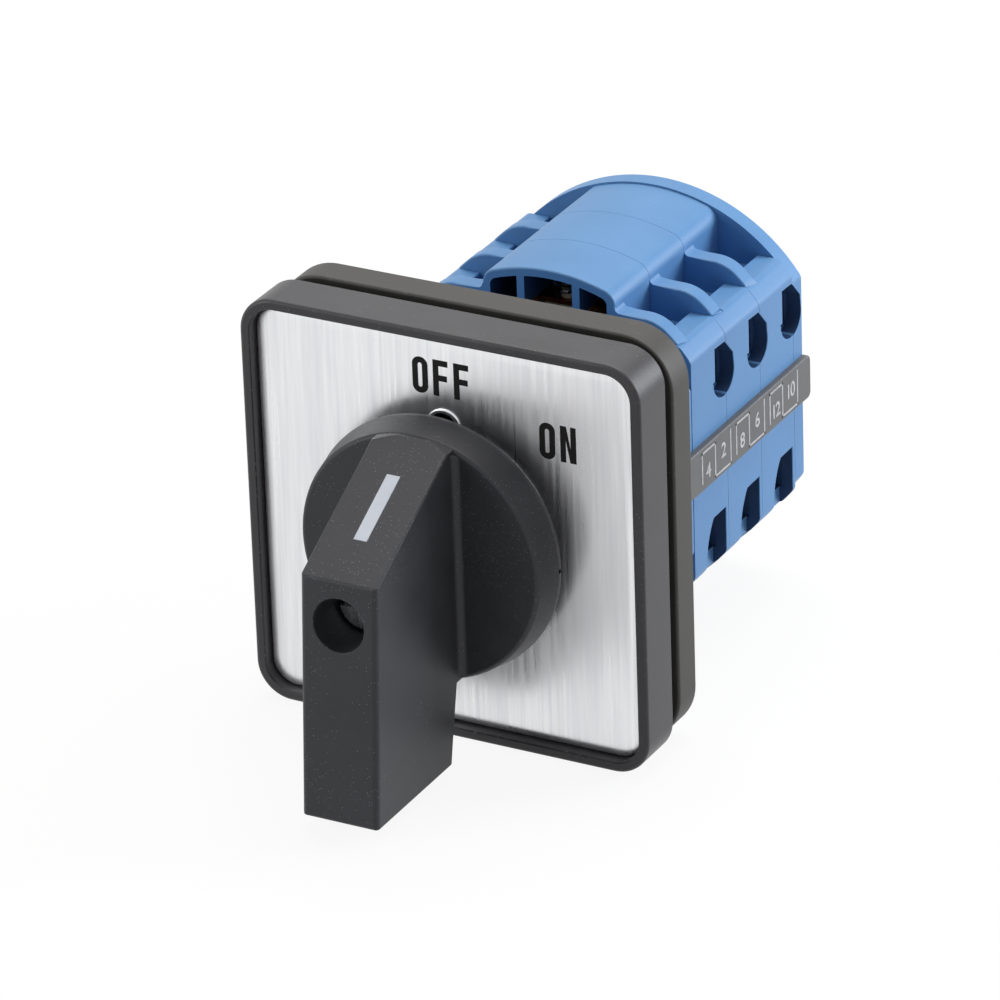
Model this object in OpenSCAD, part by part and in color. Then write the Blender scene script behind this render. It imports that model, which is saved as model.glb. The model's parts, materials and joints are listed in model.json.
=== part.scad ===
// Panel-mounted rotary cam switch: three contact stages, two positions, escutcheon plate.
// Millimetres. The shaft lies along Y, the front faces -Y and +Z is up.
// The origin is on the shaft axis, in the plane where the panel's front face sits.

/* [Front plate] */
// Side of the square bezel and of the mounting plate
plate_size = 64; // [60:1:80]
// Depth of the bezel in front of the panel
bezel_depth = 8; // [7:0.5:12]
// Corner radius of the bezel
bezel_corner_r = 5.6; // [3:0.1:9]
// Width of the bezel's rim around the legend plate
rim_w = 1.6; // [1.2:0.1:3]
// Thickness of the legend plate
legend_t = 0.8; // [0.5:0.1:1.5]
// Height of the bezel's rim over the legend plate
rim_step = 1.6; // [0.4:0.1:1.8]
// Radius of the opening in the legend plate
legend_hole_r = 16.6; // [16:0.1:18.6]
// Radius of the notch in that opening
legend_notch_r = 2.2; // [2:0.1:3]
// Thickness of the gasket
gasket_t = 1.5; // [1:0.1:2.5]
// Gap between bezel and mounting plate, for the panel
panel_gap = 2.1; // [2.05:0.05:4]
// Thickness of the mounting plate
mount_t = 5.4; // [5.2:0.1:8]
// Corner radius of the mounting plate
mount_corner_r = 8; // [4:0.5:9]
// Spacing of the four panel screws, both ways
panel_pitch = 48; // [45:0.5:50]

/* [Handle] */
// Radius of the round skirt at its rear edge
skirt_r = 19.9; // [18.2:0.1:22]
// Radius of the skirt at its front edge
skirt_front_r = 19; // [17:0.1:19.5]
// Depth of the skirt's side
skirt_h = 5.5; // [4:0.5:8]
// Gap between the skirt and the bezel's front
skirt_gap = 1.7; // [0.8:0.1:3]
// Width of the grip
grip_w = 12.2; // [10:0.5:14]
// Distance from the bezel's front to the grip's upper front edge
grip_reach = 30.2; // [25:0.5:34]
// How much further forward the grip's lower front edge lies
grip_lean = 2.6; // [0:0.2:4]
// Height of the grip's upper front edge over the axis
grip_top = 6.5; // [5.5:0.5:9]
// Distance from the axis down to the grip's end
grip_drop = 30.2; // [28:0.5:38]
// Radius of the hole for the handle screw
handle_hole_r = 4; // [3.8:0.1:4.5]

/* [Body] */
// Half the width of the body across its flat sides
body_half_w = 22.9; // [22:0.1:26]
// Radius of the body's round outline
body_r = 28.7; // [28:0.1:32]
// Height of the flat top of the walls beside the dome
fin_top = 22.9; // [22:0.1:25]
// Radius where that flat top runs into the round outline
fin_round_r = 6; // [4:0.5:7]
// Height of the shoulders beside the wire funnels
shoulder_z = 19.7; // [19:0.1:21]
// Radius of the top of the dome
dome_r = 27.7; // [27:0.1:31]
// Radius of the end plate
end_r = 28; // [27:0.1:31]
// Half the width of the dome
dome_half_w = 10.8; // [10.8:0.1:11.5]
// Radius of the dome's edges
dome_edge_r = 2.5; // [1.5:0.1:3]
// Wall of the dome
dome_wall = 1.3; // [1:0.1:1.4]
// Pitch of the contact stages
stage_pitch = 11.1; // [11:0.1:14]
// Thickness of the wall at the front of each stage, beside the dome
fin_t = 2.9; // [2:0.1:3.2]
// Thickness of the wall at the rear of each stage
rear_wall = 2; // [1.8:0.1:2.5]
// Depth of the detent housing
detent_depth = 18.1; // [18:0.5:22]
// Height of the detent housing over the axis
detent_half_h = 21; // [20.9:0.1:22]
// Thickness of the end plate
end_t = 3.3; // [3.2:0.1:5]

/* [Mechanism] */
// Side of the square shaft
shaft_w = 7; // [6.8:0.1:7.2]
// Radius of the rotor hub that runs in the mounting plate
hub_r = 7; // [6.8:0.1:7.4]
// Running clearance of the rotor in its bearings, on the radius
bearing_gap = 0.05; // [0.02:0.01:0.1]
// Largest radius of the cams
cam_r = 10.8; // [10.5:0.1:11.2]
// Travel of the contact bridges
contact_travel = 2.2; // [1.8:0.1:2.4]
// Turn of the handle between its two positions, in degrees
switch_angle = 45; // [45, 60]
// Gap between a cam and its plunger
cam_gap = 0.3; // [0.25:0.05:0.4]

/* [Terminals] */
// Width of the openings to the terminal screws
window_w = 6.7; // [6.6:0.1:7]
// Distance of the terminal screws from the axis
screw_z = 13.2; // [13:0.1:13.4]
// Thickness of the body's side wall that those openings go through
window_wall = 1.8; // [1.2:0.1:2.2]
// Radius of the terminal screw's head
terminal_head_r = 2.9; // [2.6:0.1:3]
// Thickness of the contact strips
strip_t = 0.8; // [0.6:0.1:1]
// Width of the contact strips
strip_w = 4; // [3.6:0.1:4.2]
// Thickness of the marking strips on the body's sides
marking_t = 1; // [0.6:0.1:1.4]

/* [Hidden] */
$fn = 48;
e = 0.5;                 // how far a cut runs past a face
fit = 0.1;               // gap around pieces that are fitted together

// planes along Y, from the front
bezel_y = -bezel_depth;
legend_y = bezel_y + rim_step;
floor_y = legend_y + legend_t;
skirt_y = bezel_y - skirt_gap;
skirt_front_y = skirt_y - skirt_h;
grip_y = bezel_y - grip_reach;
mount_y = panel_gap;
mount_rear_y = mount_y + mount_t;
stack_y = mount_rear_y + detent_depth;
end_y = stack_y + 3 * stage_pitch;
rear_y = end_y + end_t;

// handle
slope_angle = atan2(skirt_front_r - 0.2 - grip_top, skirt_front_y - grip_y - 0.3);
mark_w = 2.2;
mark_from = 7.5;
mark_to = 19.2;
mark_t = 0.5;
handle_web = 2;          // wall between the screw's head and the shaft
screw_seat_y = grip_y + 8.7;
shaft_front_y = screw_seat_y + handle_web;
handle_hub_r = 8.8;
handle_hub_end_y = floor_y + 3.9;
handle_head_r = 3.6;
handle_head_h = 2.4;

// screws
m4_r = 2;                // shank
m4_thread_r = 1.77;      // thread, drawn at its pitch radius
m4_head_r = 4;
m4_head_h = 2.4;
m4_hole_r = 3.2;         // clearance hole in the bezel
nut_af = 7;              // across flats
nut_h = 3;
panel_head_y = floor_y + 0.4;
panel_nut_y = mount_rear_y - nut_h;
tie_x = 17.2;
tie_hole_r = 2.1;

// detent
wheel_lobe_r = 10.3;
wheel_notch_r = 9.7;
lug_r = 13;
lug_half_angle = 12;
lug_y = mount_rear_y + 2.1;
lug_t = 3.4;
star_y = lug_y + lug_t + 1;
star_t = 6;
stop_pin_r = 1.2;
stop_pin_at = 12;
stop_margin = 1.4;       // degrees between lug and pin at each end of the turn
detent_cavity_r = 14.6;
roller_r = 2;
roller_z = wheel_lobe_r + 0.25 + roller_r;
plunger_half_w = 2.4;
detent_top_z = detent_half_h - 1.4;
detent_hub_end_y = stack_y - 0.1;

// contact stages
stage_cavity_r = cam_r + 1.2;
cam_hub_r = 7.4;
cam_w = 4.3;
cam_low_r = cam_r - contact_travel;
contact_off = 4.25;      // from a stage's rear face forward to the middle of its contacts
upper_off = 1.65;        // the same to the middle of the upper terminals
lower_off = 3.95;        // and of the lower terminals
shelf_z = 15.2;          // top of the wall between cam and contacts
nose_r = 2.2;
nose_z = cam_r + cam_gap;
arm_z = shelf_z + 0.4;
button_r = 1.6;
button_t = 0.8;
button_x = 6.2;
bridge_z = arm_z + strip_t + 2 * button_t + 0.05 + contact_travel;
bridge_half_w = 8;
stem_half_w = 3;
rib_x = 4.5;
rib_t = 1.2;
rib_z = bridge_z + strip_t + 0.35;
roof_z = dome_r - dome_wall;
terminal_x = 12.6;       // inner end of the terminal rooms
window_shift = 1;        // how far an upper window lies behind the middle of its terminal
room_lo = screw_z - 4.7;
room_hi = screw_z + 3.9;
plate_x = terminal_x + 0.1;
plate_t = 1;
clamp_x = 16.6;
clamp_t = 1;
clamp_w = 6;
terminal_head_h = 2.4;
terminal_shank_r = 1.75;
wire_x0 = 12.9;
wire_x1 = 17.2;
wire_w = 4.5;
funnel_floor_z = room_hi + 0.8;
marking_lo = -3.5;
marking_hi = 3.4;

function stage_y(k) = stack_y + (k - 1) * stage_pitch;
function terminal_y(k, up) = stage_y(k) + stage_pitch - (up > 0 ? upper_off : lower_off);
function wire_y(k, up) = terminal_y(k, up) - (up > 0 ? upper_off : 0);
function contact_y(k) = stage_y(k) + stage_pitch - contact_off;

// ---- helpers ----

// Extrudes an outline drawn in X and Z between two planes along Y
module slab(y0, y1) {
    translate([0, y1, 0]) rotate([90, 0, 0]) linear_extrude(y1 - y0) children();
}

// Extrudes an outline drawn in Y and Z between two planes along X
module side_slab(x0, x1) {
    translate([x0, 0, 0]) rotate([90, 0, 90]) linear_extrude(x1 - x0) children();
}

// A cylinder along Y
module rod(y0, y1, r, x = 0, z = 0) {
    translate([x, y1, z]) rotate([90, 0, 0]) cylinder(h = y1 - y0, r = r);
}

// A hexagonal prism along Y, by its width across flats
module hex_rod(y0, y1, af, x = 0, z = 0) {
    translate([x, y1, z]) rotate([90, 0, 0]) cylinder(h = y1 - y0, r = af / sqrt(3), $fn = 6);
}

module rounded_square(w, r) {
    square([w, w - 2 * r], center = true);
    square([w - 2 * r, w], center = true);
    for (x = [-1, 1], z = [-1, 1]) translate([x, z] * (w / 2 - r)) circle(r);
}

module four_corners(pitch) {
    for (x = [-1, 1], z = [-1, 1]) translate([x * pitch / 2, 0, z * pitch / 2]) children();
}

// Coil spring along Z, a round wire swept along a helix as one mesh
module coil(z0, z1, r, wire_r, turns) {
    steps = 10 * turns;
    sides = 5;
    rise = z1 - z0 - 2 * wire_r;
    ring = [for (i = [0:steps]) for (j = [0:sides - 1])
        let (a = 360 * i / 10, b = 360 * j / sides, q = r - wire_r + wire_r * cos(b))
        [q * cos(a), q * sin(a), z0 + wire_r + rise * i / steps + wire_r * sin(b)]];
    walls = [for (i = [0:steps - 1]) for (j = [0:sides - 1])
        let (p = i * sides + j, q = i * sides + (j + 1) % sides)
        [p, p + sides, q + sides, q]];
    first = [for (j = [0:sides - 1]) j];
    last = [for (j = [sides - 1:-1:0]) steps * sides + j];
    polyhedron(ring, concat(walls, [first, last]), convexity = 6);
}

// ---- front ----

module handle_profile() {
    polygon([
        [grip_y, grip_top],
        [skirt_front_y - 0.3, skirt_front_r - 0.2],
        [skirt_front_y + 1, skirt_front_r - 0.2],
        [skirt_front_y + 1, -skirt_front_r + 1],
        [skirt_front_y - 1.7, -skirt_front_r + 1],
        [skirt_front_y - 3.4, -grip_drop],
        [grip_y - grip_lean, -grip_drop]
    ]);
}

module on_slope() {
    translate([0, grip_y, grip_top]) rotate([slope_angle, 0, 0]) children();
}

module handle() {
    color("#3a3b3e") difference() {
        union() {
            rotate([90, 0, 0]) rotate_extrude() polygon([
                [0, -skirt_y], [skirt_r, -skirt_y], [skirt_r, -skirt_y + 0.8],
                [skirt_front_r, -skirt_front_y], [0, -skirt_front_y + 1]
            ]);
            side_slab(-grip_w / 2, grip_w / 2) handle_profile();
            rod(skirt_y - e, handle_hub_end_y, handle_hub_r);
        }
        // hollow behind the skirt
        rotate([90, 0, 0]) rotate_extrude()
            translate([handle_hub_r + 1.6, -skirt_y - e])
            square([skirt_front_r - handle_hub_r - 3.4, skirt_h - 2 + e]);
        rod(grip_y - grip_lean - e, screw_seat_y, handle_hole_r);
        rod(screw_seat_y - e, shaft_front_y + e, m4_r + 0.2);
        slab(shaft_front_y - fit, handle_hub_end_y + e) square(shaft_w + 2 * fit, center = true);
        on_slope() translate([-mark_w / 2, mark_from, -mark_t])
            cube([mark_w, mark_to - mark_from, 2]);
    }
}

module handle_mark() {
    color("white") on_slope() translate([-mark_w / 2 + 0.02, mark_from + 0.02, -mark_t])
        cube([mark_w - 0.04, mark_to - mark_from - 0.04, mark_t + 0.02]);
}

module handle_screw() {
    color("silver") difference() {
        union() {
            rod(screw_seat_y - handle_head_h, screw_seat_y, handle_head_r);
            rod(screw_seat_y - e, shaft_front_y + 9, m4_r);
        }
        translate([0, screw_seat_y - handle_head_h, 0])
            cube([2 * handle_head_r + e, 2.4, 0.9], center = true);
    }
}

module bezel() {
    color("#39393c") difference() {
        slab(bezel_y, 0) rounded_square(plate_size, bezel_corner_r);
        slab(bezel_y - e, floor_y)
            rounded_square(plate_size - 2 * rim_w, bezel_corner_r - rim_w);
        slab(-gasket_t, e) rounded_square(plate_size - 6, bezel_corner_r - 2);
        rod(floor_y - e, e, handle_hub_r + 0.5);
        rod(floor_y - e, floor_y + 3, legend_notch_r, 0, legend_hole_r);
        four_corners(panel_pitch) {
            rod(floor_y - e, panel_head_y + m4_head_h, m4_head_r + 0.4);
            rod(floor_y - e, 0, m4_hole_r);
        }
    }
}

module legend_plate() {
    color("#c9cacc") slab(legend_y, floor_y) difference() {
        rounded_square(plate_size - 2 * rim_w - 2 * fit, bezel_corner_r - rim_w - fit);
        circle(legend_hole_r);
        translate([0, legend_hole_r]) circle(legend_notch_r);
    }
}

module panel_gasket() {
    color("#1c1c1e") slab(-gasket_t, 0) difference() {
        rounded_square(plate_size - 6 - 2 * fit, bezel_corner_r - 2 - fit);
        circle(handle_hub_r + 1.5);
        for (x = [-1, 1], z = [-1, 1])
            translate([x, z] * panel_pitch / 2) circle(m4_hole_r + 0.1);
    }
}

module mounting_plate() {
    color("#39393c") difference() {
        slab(mount_y, mount_rear_y) rounded_square(plate_size, mount_corner_r);
        rod(mount_y - e, mount_rear_y + e, hub_r + bearing_gap);
        four_corners(panel_pitch) {
            rod(mount_y - e, mount_rear_y + e, tie_hole_r);
            hex_rod(panel_nut_y - fit, mount_rear_y + e, nut_af + 2 * fit);
        }
        for (x = [-1, 1]) {
            rod(mount_y - e, mount_rear_y + e, tie_hole_r, x * tie_x);
            hex_rod(mount_y - e, mount_y + nut_h + 2 * fit, nut_af + 2 * fit, x * tie_x);
        }
    }
}

module panel_screws() {
    color("silver") four_corners(panel_pitch) difference() {
        union() {
            rod(panel_head_y, panel_head_y + m4_head_h, m4_head_r);
            rod(panel_head_y + e, mount_y, m4_r);
            rod(mount_y - e, mount_rear_y + 0.6, m4_thread_r);
        }
        for (a = [0, 90]) rotate([0, a, 0]) translate([0, panel_head_y, 0])
            cube([4.4, 2, 0.9], center = true);
    }
}

module nut(y0, x = 0, z = 0) {
    difference() {
        hex_rod(y0, y0 + nut_h, nut_af, x, z);
        rod(y0 - e, y0 + nut_h + e, m4_thread_r + 0.03, x, z);
    }
}

module panel_nuts() {
    color("gold") four_corners(panel_pitch) nut(panel_nut_y);
}

// ---- shaft ----

module shaft() {
    color("silver") difference() {
        union() {
            slab(shaft_front_y, end_y - 0.9) square(shaft_w, center = true);
            rod(end_y - 1.4, end_y + end_t - 1.1, shaft_w / 2 - 0.2);
        }
        rod(shaft_front_y - e, shaft_front_y + 10, m4_r + 0.05);
        // groove across the four edges for the clip
        slab(mount_y - 1.1, mount_y - 0.1) difference() {
            square(shaft_w + 1, center = true);
            circle(shaft_w * 0.66);
        }
    }
}

module shaft_clip() {
    color("dimgray") slab(mount_y - 1, mount_y - 0.2) difference() {
        circle(hub_r - 0.4);
        circle(shaft_w * 0.66 + 0.03);
        translate([0, -hub_r]) square([3.4, 2 * hub_r], center = true);
    }
}

// ---- detent ----

module detent_outline() {
    intersection() {
        circle(body_r - 2.4);
        square([2 * body_half_w, 2 * detent_half_h], center = true);
    }
}

module detent_housing() {
    pin_a = lug_half_angle + stop_margin + asin(stop_pin_r / stop_pin_at);
    color("#4b8cc8") difference() {
        slab(mount_rear_y, stack_y) detent_outline();
        rod(mount_rear_y - e, stack_y - rear_wall, detent_cavity_r);
        rod(mount_rear_y - e, stack_y + e, cam_hub_r + 0.3);
        for (z = [-1, 1]) translate([0, 0, z * (detent_top_z + wheel_lobe_r) / 2])
            translate([0, star_y + star_t / 2, 0])
            cube([2 * plunger_half_w + 2 * fit, star_t + 1, detent_top_z - wheel_lobe_r],
                 center = true);
        for (a = [-pin_a, switch_angle + pin_a])
            rod(stack_y - rear_wall - e, stack_y - 0.5, stop_pin_r + 0.02,
                stop_pin_at * sin(a), stop_pin_at * cos(a));
        for (x = [-1, 1]) rod(mount_rear_y - e, stack_y + e, tie_hole_r, x * tie_x);
    }
}

module star_outline() {
    mid = (wheel_lobe_r + wheel_notch_r) / 2;
    swing = (wheel_lobe_r - wheel_notch_r) / 2;
    polygon([for (a = [0:3:357]) (mid - swing * cos(8 * a)) * [sin(a), cos(a)]]);
}

module lug_outline() {
    circle(hub_r + 1);
    polygon(concat([[0, 0]],
        [for (a = [-lug_half_angle:3:lug_half_angle]) lug_r * [sin(a), cos(a)]]));
}

module detent_wheel() {
    color("ivory") difference() {
        union() {
            rod(mount_y + 0.2, detent_hub_end_y, hub_r);
            slab(lug_y, lug_y + lug_t) lug_outline();
            slab(star_y, star_y + star_t) star_outline();
        }
        slab(mount_y, stack_y) square(shaft_w + 2 * fit, center = true);
    }
}

module stop_pins() {
    pin_a = lug_half_angle + stop_margin + asin(stop_pin_r / stop_pin_at);
    color("silver") for (a = [-pin_a, switch_angle + pin_a])
        rod(mount_rear_y + 0.7, stack_y - 0.6, stop_pin_r,
            stop_pin_at * sin(a), stop_pin_at * cos(a));
}

module detent_plunger(up) {
    color("#2d2d30") mirror([0, 0, up > 0 ? 0 : 1]) difference() {
        translate([0, star_y + star_t / 2, 0])
            translate([-plunger_half_w, -star_t / 2 - 0.3, roller_z - 0.5])
            cube([2 * plunger_half_w, star_t + 0.6, 5.4]);
        rod(star_y + 0.1, star_y + star_t - 0.1, roller_r + 0.05, 0, roller_z);
        translate([0, star_y + star_t / 2, roller_z + roller_r + 0.9]) cylinder(h = 4, r = 2);
    }
}

module detent_roller(up) {
    color("silver") rod(star_y + 0.2, star_y + star_t - 0.2, roller_r, 0, up * roller_z);
}

module detent_spring(up) {
    color("silver") mirror([0, 0, up > 0 ? 0 : 1]) translate([0, star_y + star_t / 2, 0])
        coil(roller_z + roller_r + 0.95, detent_top_z - 0.05, 1.85, 0.25, 4);
}

// ---- contact stages ----

// Outline of the dome block, drawn smaller by inset
module dome_outline(inset = 0) {
    r = dome_r - inset;
    edge = dome_edge_r - inset;
    edge_x = dome_half_w - dome_edge_r;
    edge_z = sqrt(pow(r - edge, 2) - pow(edge_x, 2));
    intersection() {
        circle(r);
        square([2 * edge_x, 2 * r], center = true);
    }
    square([2 * (edge_x + edge), 2 * edge_z], center = true);
    for (x = [-1, 1], z = [-1, 1]) translate([x * edge_x, z * edge_z]) circle(edge);
}

// Outline of the walls beside the dome: a circle with a flat top, rounded where they meet
module fin_outline() {
    mid_z = fin_top - fin_round_r;
    mid_x = sqrt(pow(body_r - fin_round_r, 2) - pow(mid_z, 2));
    round_z = mid_z * body_r / (body_r - fin_round_r);
    intersection() {
        circle(body_r);
        square([2 * body_half_w, 2 * round_z], center = true);
    }
    square([2 * mid_x, 2 * fin_top], center = true);
    for (x = [-1, 1], z = [-1, 1]) translate([x * mid_x, z * mid_z]) circle(fin_round_r);
}

// Funnel beside the dome that a wire goes down
module valley_outline() {
    polygon([
        [dome_half_w, fin_top + e], [dome_half_w, funnel_floor_z], [wire_x1, funnel_floor_z],
        [wire_x1, shoulder_z], [body_half_w + e, shoulder_z], [body_half_w + e, fin_top + e]
    ]);
}

module shoulder_outline() {
    difference() {
        fin_outline();
        for (x = [0, 1], z = [0, 1]) mirror([x, 0]) mirror([0, z]) valley_outline();
    }
}

// Opening to an upper terminal screw, in Y and Z
module upper_window() {
    r = window_w / 2;
    mid_z = screw_z - 2.2;
    top_z = screw_z + 3;
    translate([window_shift, 0]) {
        translate([0, mid_z]) circle(r);
        polygon([
            [0.6 - r, mid_z], [0.6 - r, top_z], [0.4, top_z], [r - 0.3, top_z - 2.8], [r, mid_z]
        ]);
    }
}

// Opening to a lower terminal screw, in Y and Z
module lower_window() {
    r = window_w / 2 - 0.2;
    intersection() {
        translate([-r, -body_r]) square([2 * r, body_r - screw_z + 3]);
        union() {
            translate([7, -screw_z - 3.6]) circle(10.15);
            translate([-r, -body_r]) square([2 * r, body_r - screw_z - 3.6]);
        }
    }
}

// The rooms that hold a stage's terminals and the tips of their screws, with the windows in
// the side walls
module terminal_rooms(k) {
    wall_x = body_half_w - window_wall;
    for (x = [0, 1]) mirror([x, 0, 0]) {
        for (up = [-1, 1]) {
            translate([terminal_x, terminal_y(k, up) - window_w / 2, up > 0 ? room_lo : -room_hi])
                cube([wall_x - terminal_x, window_w, room_hi - room_lo]);
            translate([terminal_x - 1.4, terminal_y(k, up), up * screw_z])
                rotate([0, 90, 0]) cylinder(h = 2, r = terminal_shank_r + 0.25);
        }
        side_slab(wall_x - e, body_half_w + e) {
            translate([terminal_y(k, 1), 0]) upper_window();
            translate([terminal_y(k, -1), 0]) lower_window();
        }
    }
}

// The part of those rooms that reaches into the piece behind the stage
module room_overlap(k) {
    intersection() {
        terminal_rooms(k);
        translate([-body_r, stage_y(k) + stage_pitch - e, 0]) cube([2 * body_r, 3 + e, body_r]);
    }
}

module stage_housing(k) {
    y0 = stage_y(k);
    y1 = y0 + stage_pitch;
    yc = contact_y(k);
    color("#4b8cc8") difference() {
        union() {
            slab(y0, y1) dome_outline();
            slab(y0, y0 + fin_t) fin_outline();
            slab(y0 + fin_t, y1) shoulder_outline();
        }
        // cam chamber and the bore for its hub
        rod(y0 - e, y1 - rear_wall, stage_cavity_r);
        rod(y0, y1 + e, cam_hub_r + 0.3);
        // contact chambers in both domes, with two ribs each
        slab(y0 - e, y1 - rear_wall) difference() {
            dome_outline(dome_wall);
            square([2 * body_half_w, 2 * shelf_z], center = true);
            for (x = [-1, 1], z = [-1, 1]) translate([x * rib_x - rib_t / 2, z > 0 ? rib_z : -rib_z - 9])
                square([rib_t, 9]);
        }
        // slots for the plungers
        translate([0, yc, 0])
            cube([2 * stem_half_w + 2 * fit, strip_w + 3 * fit, 2 * shelf_z + 1], center = true);
        // slots for the contact arms
        for (x = [-1, 1], z = [-1, 1])
            translate([x * (dome_half_w + terminal_x) / 2, yc, z * (arm_z + strip_t / 2)])
            cube([terminal_x - dome_half_w + 5.2, strip_w + 3 * fit, strip_t + 4 * fit], center = true);
        terminal_rooms(k);
        if (k > 1) room_overlap(k - 1);
        // wire funnels
        for (x = [-1, 1], up = [-1, 1])
            translate([x * (wire_x0 + wire_x1) / 2, wire_y(k, up), up * (screw_z + 4.3)])
            cube([wire_x1 - wire_x0, wire_w, 7], center = true);
        for (x = [-1, 1]) rod(y0 - e, y1 + e, tie_hole_r, x * tie_x);
    }
}

// Radius of the cam at an angle from the top, repeated every half turn
function cam_profile(a) =
    a < 114 ? cam_r :
    a < 119 ? cam_r - contact_travel * (a - 114) / 5 :
    a < 135 ? cam_low_r :
    cam_low_r + contact_travel * (a - 135) / 45;

module cam(k) {
    y1 = stage_y(k) + stage_pitch;
    yc = contact_y(k);
    color("ivory") difference() {
        union() {
            rod(stage_y(k) + fit, y1 - (k < 3 ? 0 : 0.1), cam_hub_r);
            slab(yc - cam_w / 2, yc + cam_w / 2 - 0.05)
                polygon([for (a = [0:3:357]) cam_profile(a % 180) * [sin(a), cos(a)]]);
        }
        slab(stage_y(k), y1 + e) square(shaft_w + 2 * fit, center = true);
    }
}

module plunger(k, up) {
    color("white") mirror([0, 0, up > 0 ? 0 : 1]) translate([0, contact_y(k), 0]) {
        rod(-strip_w / 2, strip_w / 2, nose_r, 0, nose_z + nose_r);
        translate([-stem_half_w, -strip_w / 2, nose_z + nose_r])
            cube([2 * stem_half_w, strip_w, bridge_z - nose_z - nose_r]);
        translate([0, 0, bridge_z - 1]) cylinder(h = strip_t + 2.4, r = 1.3);
    }
}

module bridge(k, up) {
    color("peru") mirror([0, 0, up > 0 ? 0 : 1]) translate([0, contact_y(k), 0]) {
        difference() {
            translate([-bridge_half_w, -strip_w / 2, bridge_z])
                cube([2 * bridge_half_w, strip_w, strip_t]);
            translate([0, 0, bridge_z - 1]) cylinder(h = 3, r = 1.35);
        }
        for (x = [-1, 1]) translate([x * button_x, 0, bridge_z - button_t])
            cylinder(h = button_t, r = button_r);
    }
}

module contact_spring(k, up) {
    color("silver") mirror([0, 0, up > 0 ? 0 : 1]) translate([0, contact_y(k), 0])
        coil(bridge_z + strip_t + 0.03, roof_z - 0.2, 2, 0.3, 4);
}

// The strip from a terminal to the button it carries
module fixed_contact(k, up) {
    tip_x = button_x - button_r - 0.2;
    plate_lo = screw_z - 4.2;
    mirror([0, 0, up > 0 ? 0 : 1]) {
        translate([tip_x, contact_y(k) - strip_w / 2, arm_z])
            cube([plate_x + plate_t - tip_x, strip_w, strip_t]);
        translate([button_x, contact_y(k), arm_z + strip_t]) cylinder(h = button_t, r = button_r);
        difference() {
            translate([plate_x, terminal_y(k, up) - clamp_w / 2, plate_lo])
                cube([plate_t, clamp_w - 0.1, arm_z + strip_t - plate_lo]);
            translate([plate_x - e, terminal_y(k, up), screw_z]) rotate([0, 90, 0])
                cylinder(h = 2, r = terminal_shank_r + 0.03);
        }
    }
}

module fixed_contacts(k) {
    color("peru") for (x = [0, 1], up = [-1, 1]) mirror([x, 0, 0]) fixed_contact(k, up);
}

module terminal_screw(k, up) {
    head_x = clamp_x + clamp_t;
    translate([0, terminal_y(k, up), up * screw_z]) rotate([0, 90, 0]) difference() {
        union() {
            translate([0, 0, terminal_x - 0.9])
                cylinder(h = head_x - terminal_x + 1.4, r = terminal_shank_r);
            translate([0, 0, head_x]) cylinder(h = terminal_head_h, r = terminal_head_r);
        }
        for (a = [0, 90]) rotate([0, 0, a]) translate([0, 0, head_x + terminal_head_h])
            cube([4.2, 0.8, 2.2], center = true);
    }
}

module terminal_screws(k) {
    color("silver") for (x = [0, 1], up = [-1, 1]) mirror([x, 0, 0]) terminal_screw(k, up);
}

module clamp_plates(k) {
    color("gold") for (x = [0, 1], up = [-1, 1]) mirror([x, 0, 0])
        translate([clamp_x, terminal_y(k, up), up * screw_z]) difference() {
            translate([0, -clamp_w / 2, -clamp_w / 2]) cube([clamp_t, clamp_w, clamp_w]);
            translate([-e, 0, 0]) rotate([0, 90, 0]) cylinder(h = 3, r = terminal_shank_r + 0.05);
        }
}

// ---- rear ----

module end_plate() {
    color("#4b8cc8") difference() {
        slab(end_y, rear_y) intersection() {
            circle(end_r);
            square([2 * body_half_w, 2 * end_r], center = true);
        }
        rod(end_y - e, rear_y - 1, shaft_w / 2 - 0.2 + bearing_gap);
        room_overlap(3);
        for (x = [-1, 1]) rod(end_y - e, rear_y + e, tie_hole_r, x * tie_x);
    }
}

module tie_bolts() {
    color("silver") for (x = [-1, 1]) difference() {
        union() {
            rod(rear_y, rear_y + m4_head_h, m4_head_r, x * tie_x);
            rod(mount_y + 0.4, rear_y + e, m4_thread_r, x * tie_x);
        }
        translate([x * tie_x, rear_y + m4_head_h, 0])
            cube([2 * m4_head_r + e, 2.4, 0.9], center = true);
    }
}

module tie_nuts() {
    color("gold") for (x = [-1, 1]) nut(mount_y + 0.1, x * tie_x);
}

module marking_strip() {
    y0 = mount_rear_y + fit;
    y1 = rear_y + 0.4;
    side_slab(body_half_w, body_half_w + marking_t) {
        translate([y0, marking_lo]) square([y1 - y0 - 1, marking_hi - marking_lo]);
        translate([y0, marking_lo + 1]) square([y1 - y0, marking_hi - marking_lo - 2]);
        for (z = [marking_lo + 1, marking_hi - 1]) translate([y1 - 1, z]) circle(1);
    }
}

module marking_strip_left() {
    color("#6a6a6c") mirror([1, 0, 0]) marking_strip();
}

module marking_strip_right() {
    color("#6a6a6c") marking_strip();
}

handle();
handle_mark();
handle_screw();
bezel();
legend_plate();
panel_gasket();
mounting_plate();
panel_screws();
panel_nuts();
shaft();
shaft_clip();
detent_housing();
detent_wheel();
stop_pins();
detent_plunger(1);  // detent_plunger_top
detent_roller(1);  // detent_roller_top
detent_spring(1);  // detent_spring_top
detent_plunger(-1);  // detent_plunger_bottom
detent_roller(-1);  // detent_roller_bottom
detent_spring(-1);  // detent_spring_bottom
for (k = [1:3]) {
    stage_housing(k);
    cam(k);
    plunger(k, 1);
    plunger(k, -1);
    bridge(k, 1);
    bridge(k, -1);
    contact_spring(k, 1);
    contact_spring(k, -1);
    fixed_contacts(k);
    terminal_screws(k);
    clamp_plates(k);
}
end_plate();
tie_bolts();
tie_nuts();
marking_strip_left();
marking_strip_right();
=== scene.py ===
import json
import math

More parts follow.
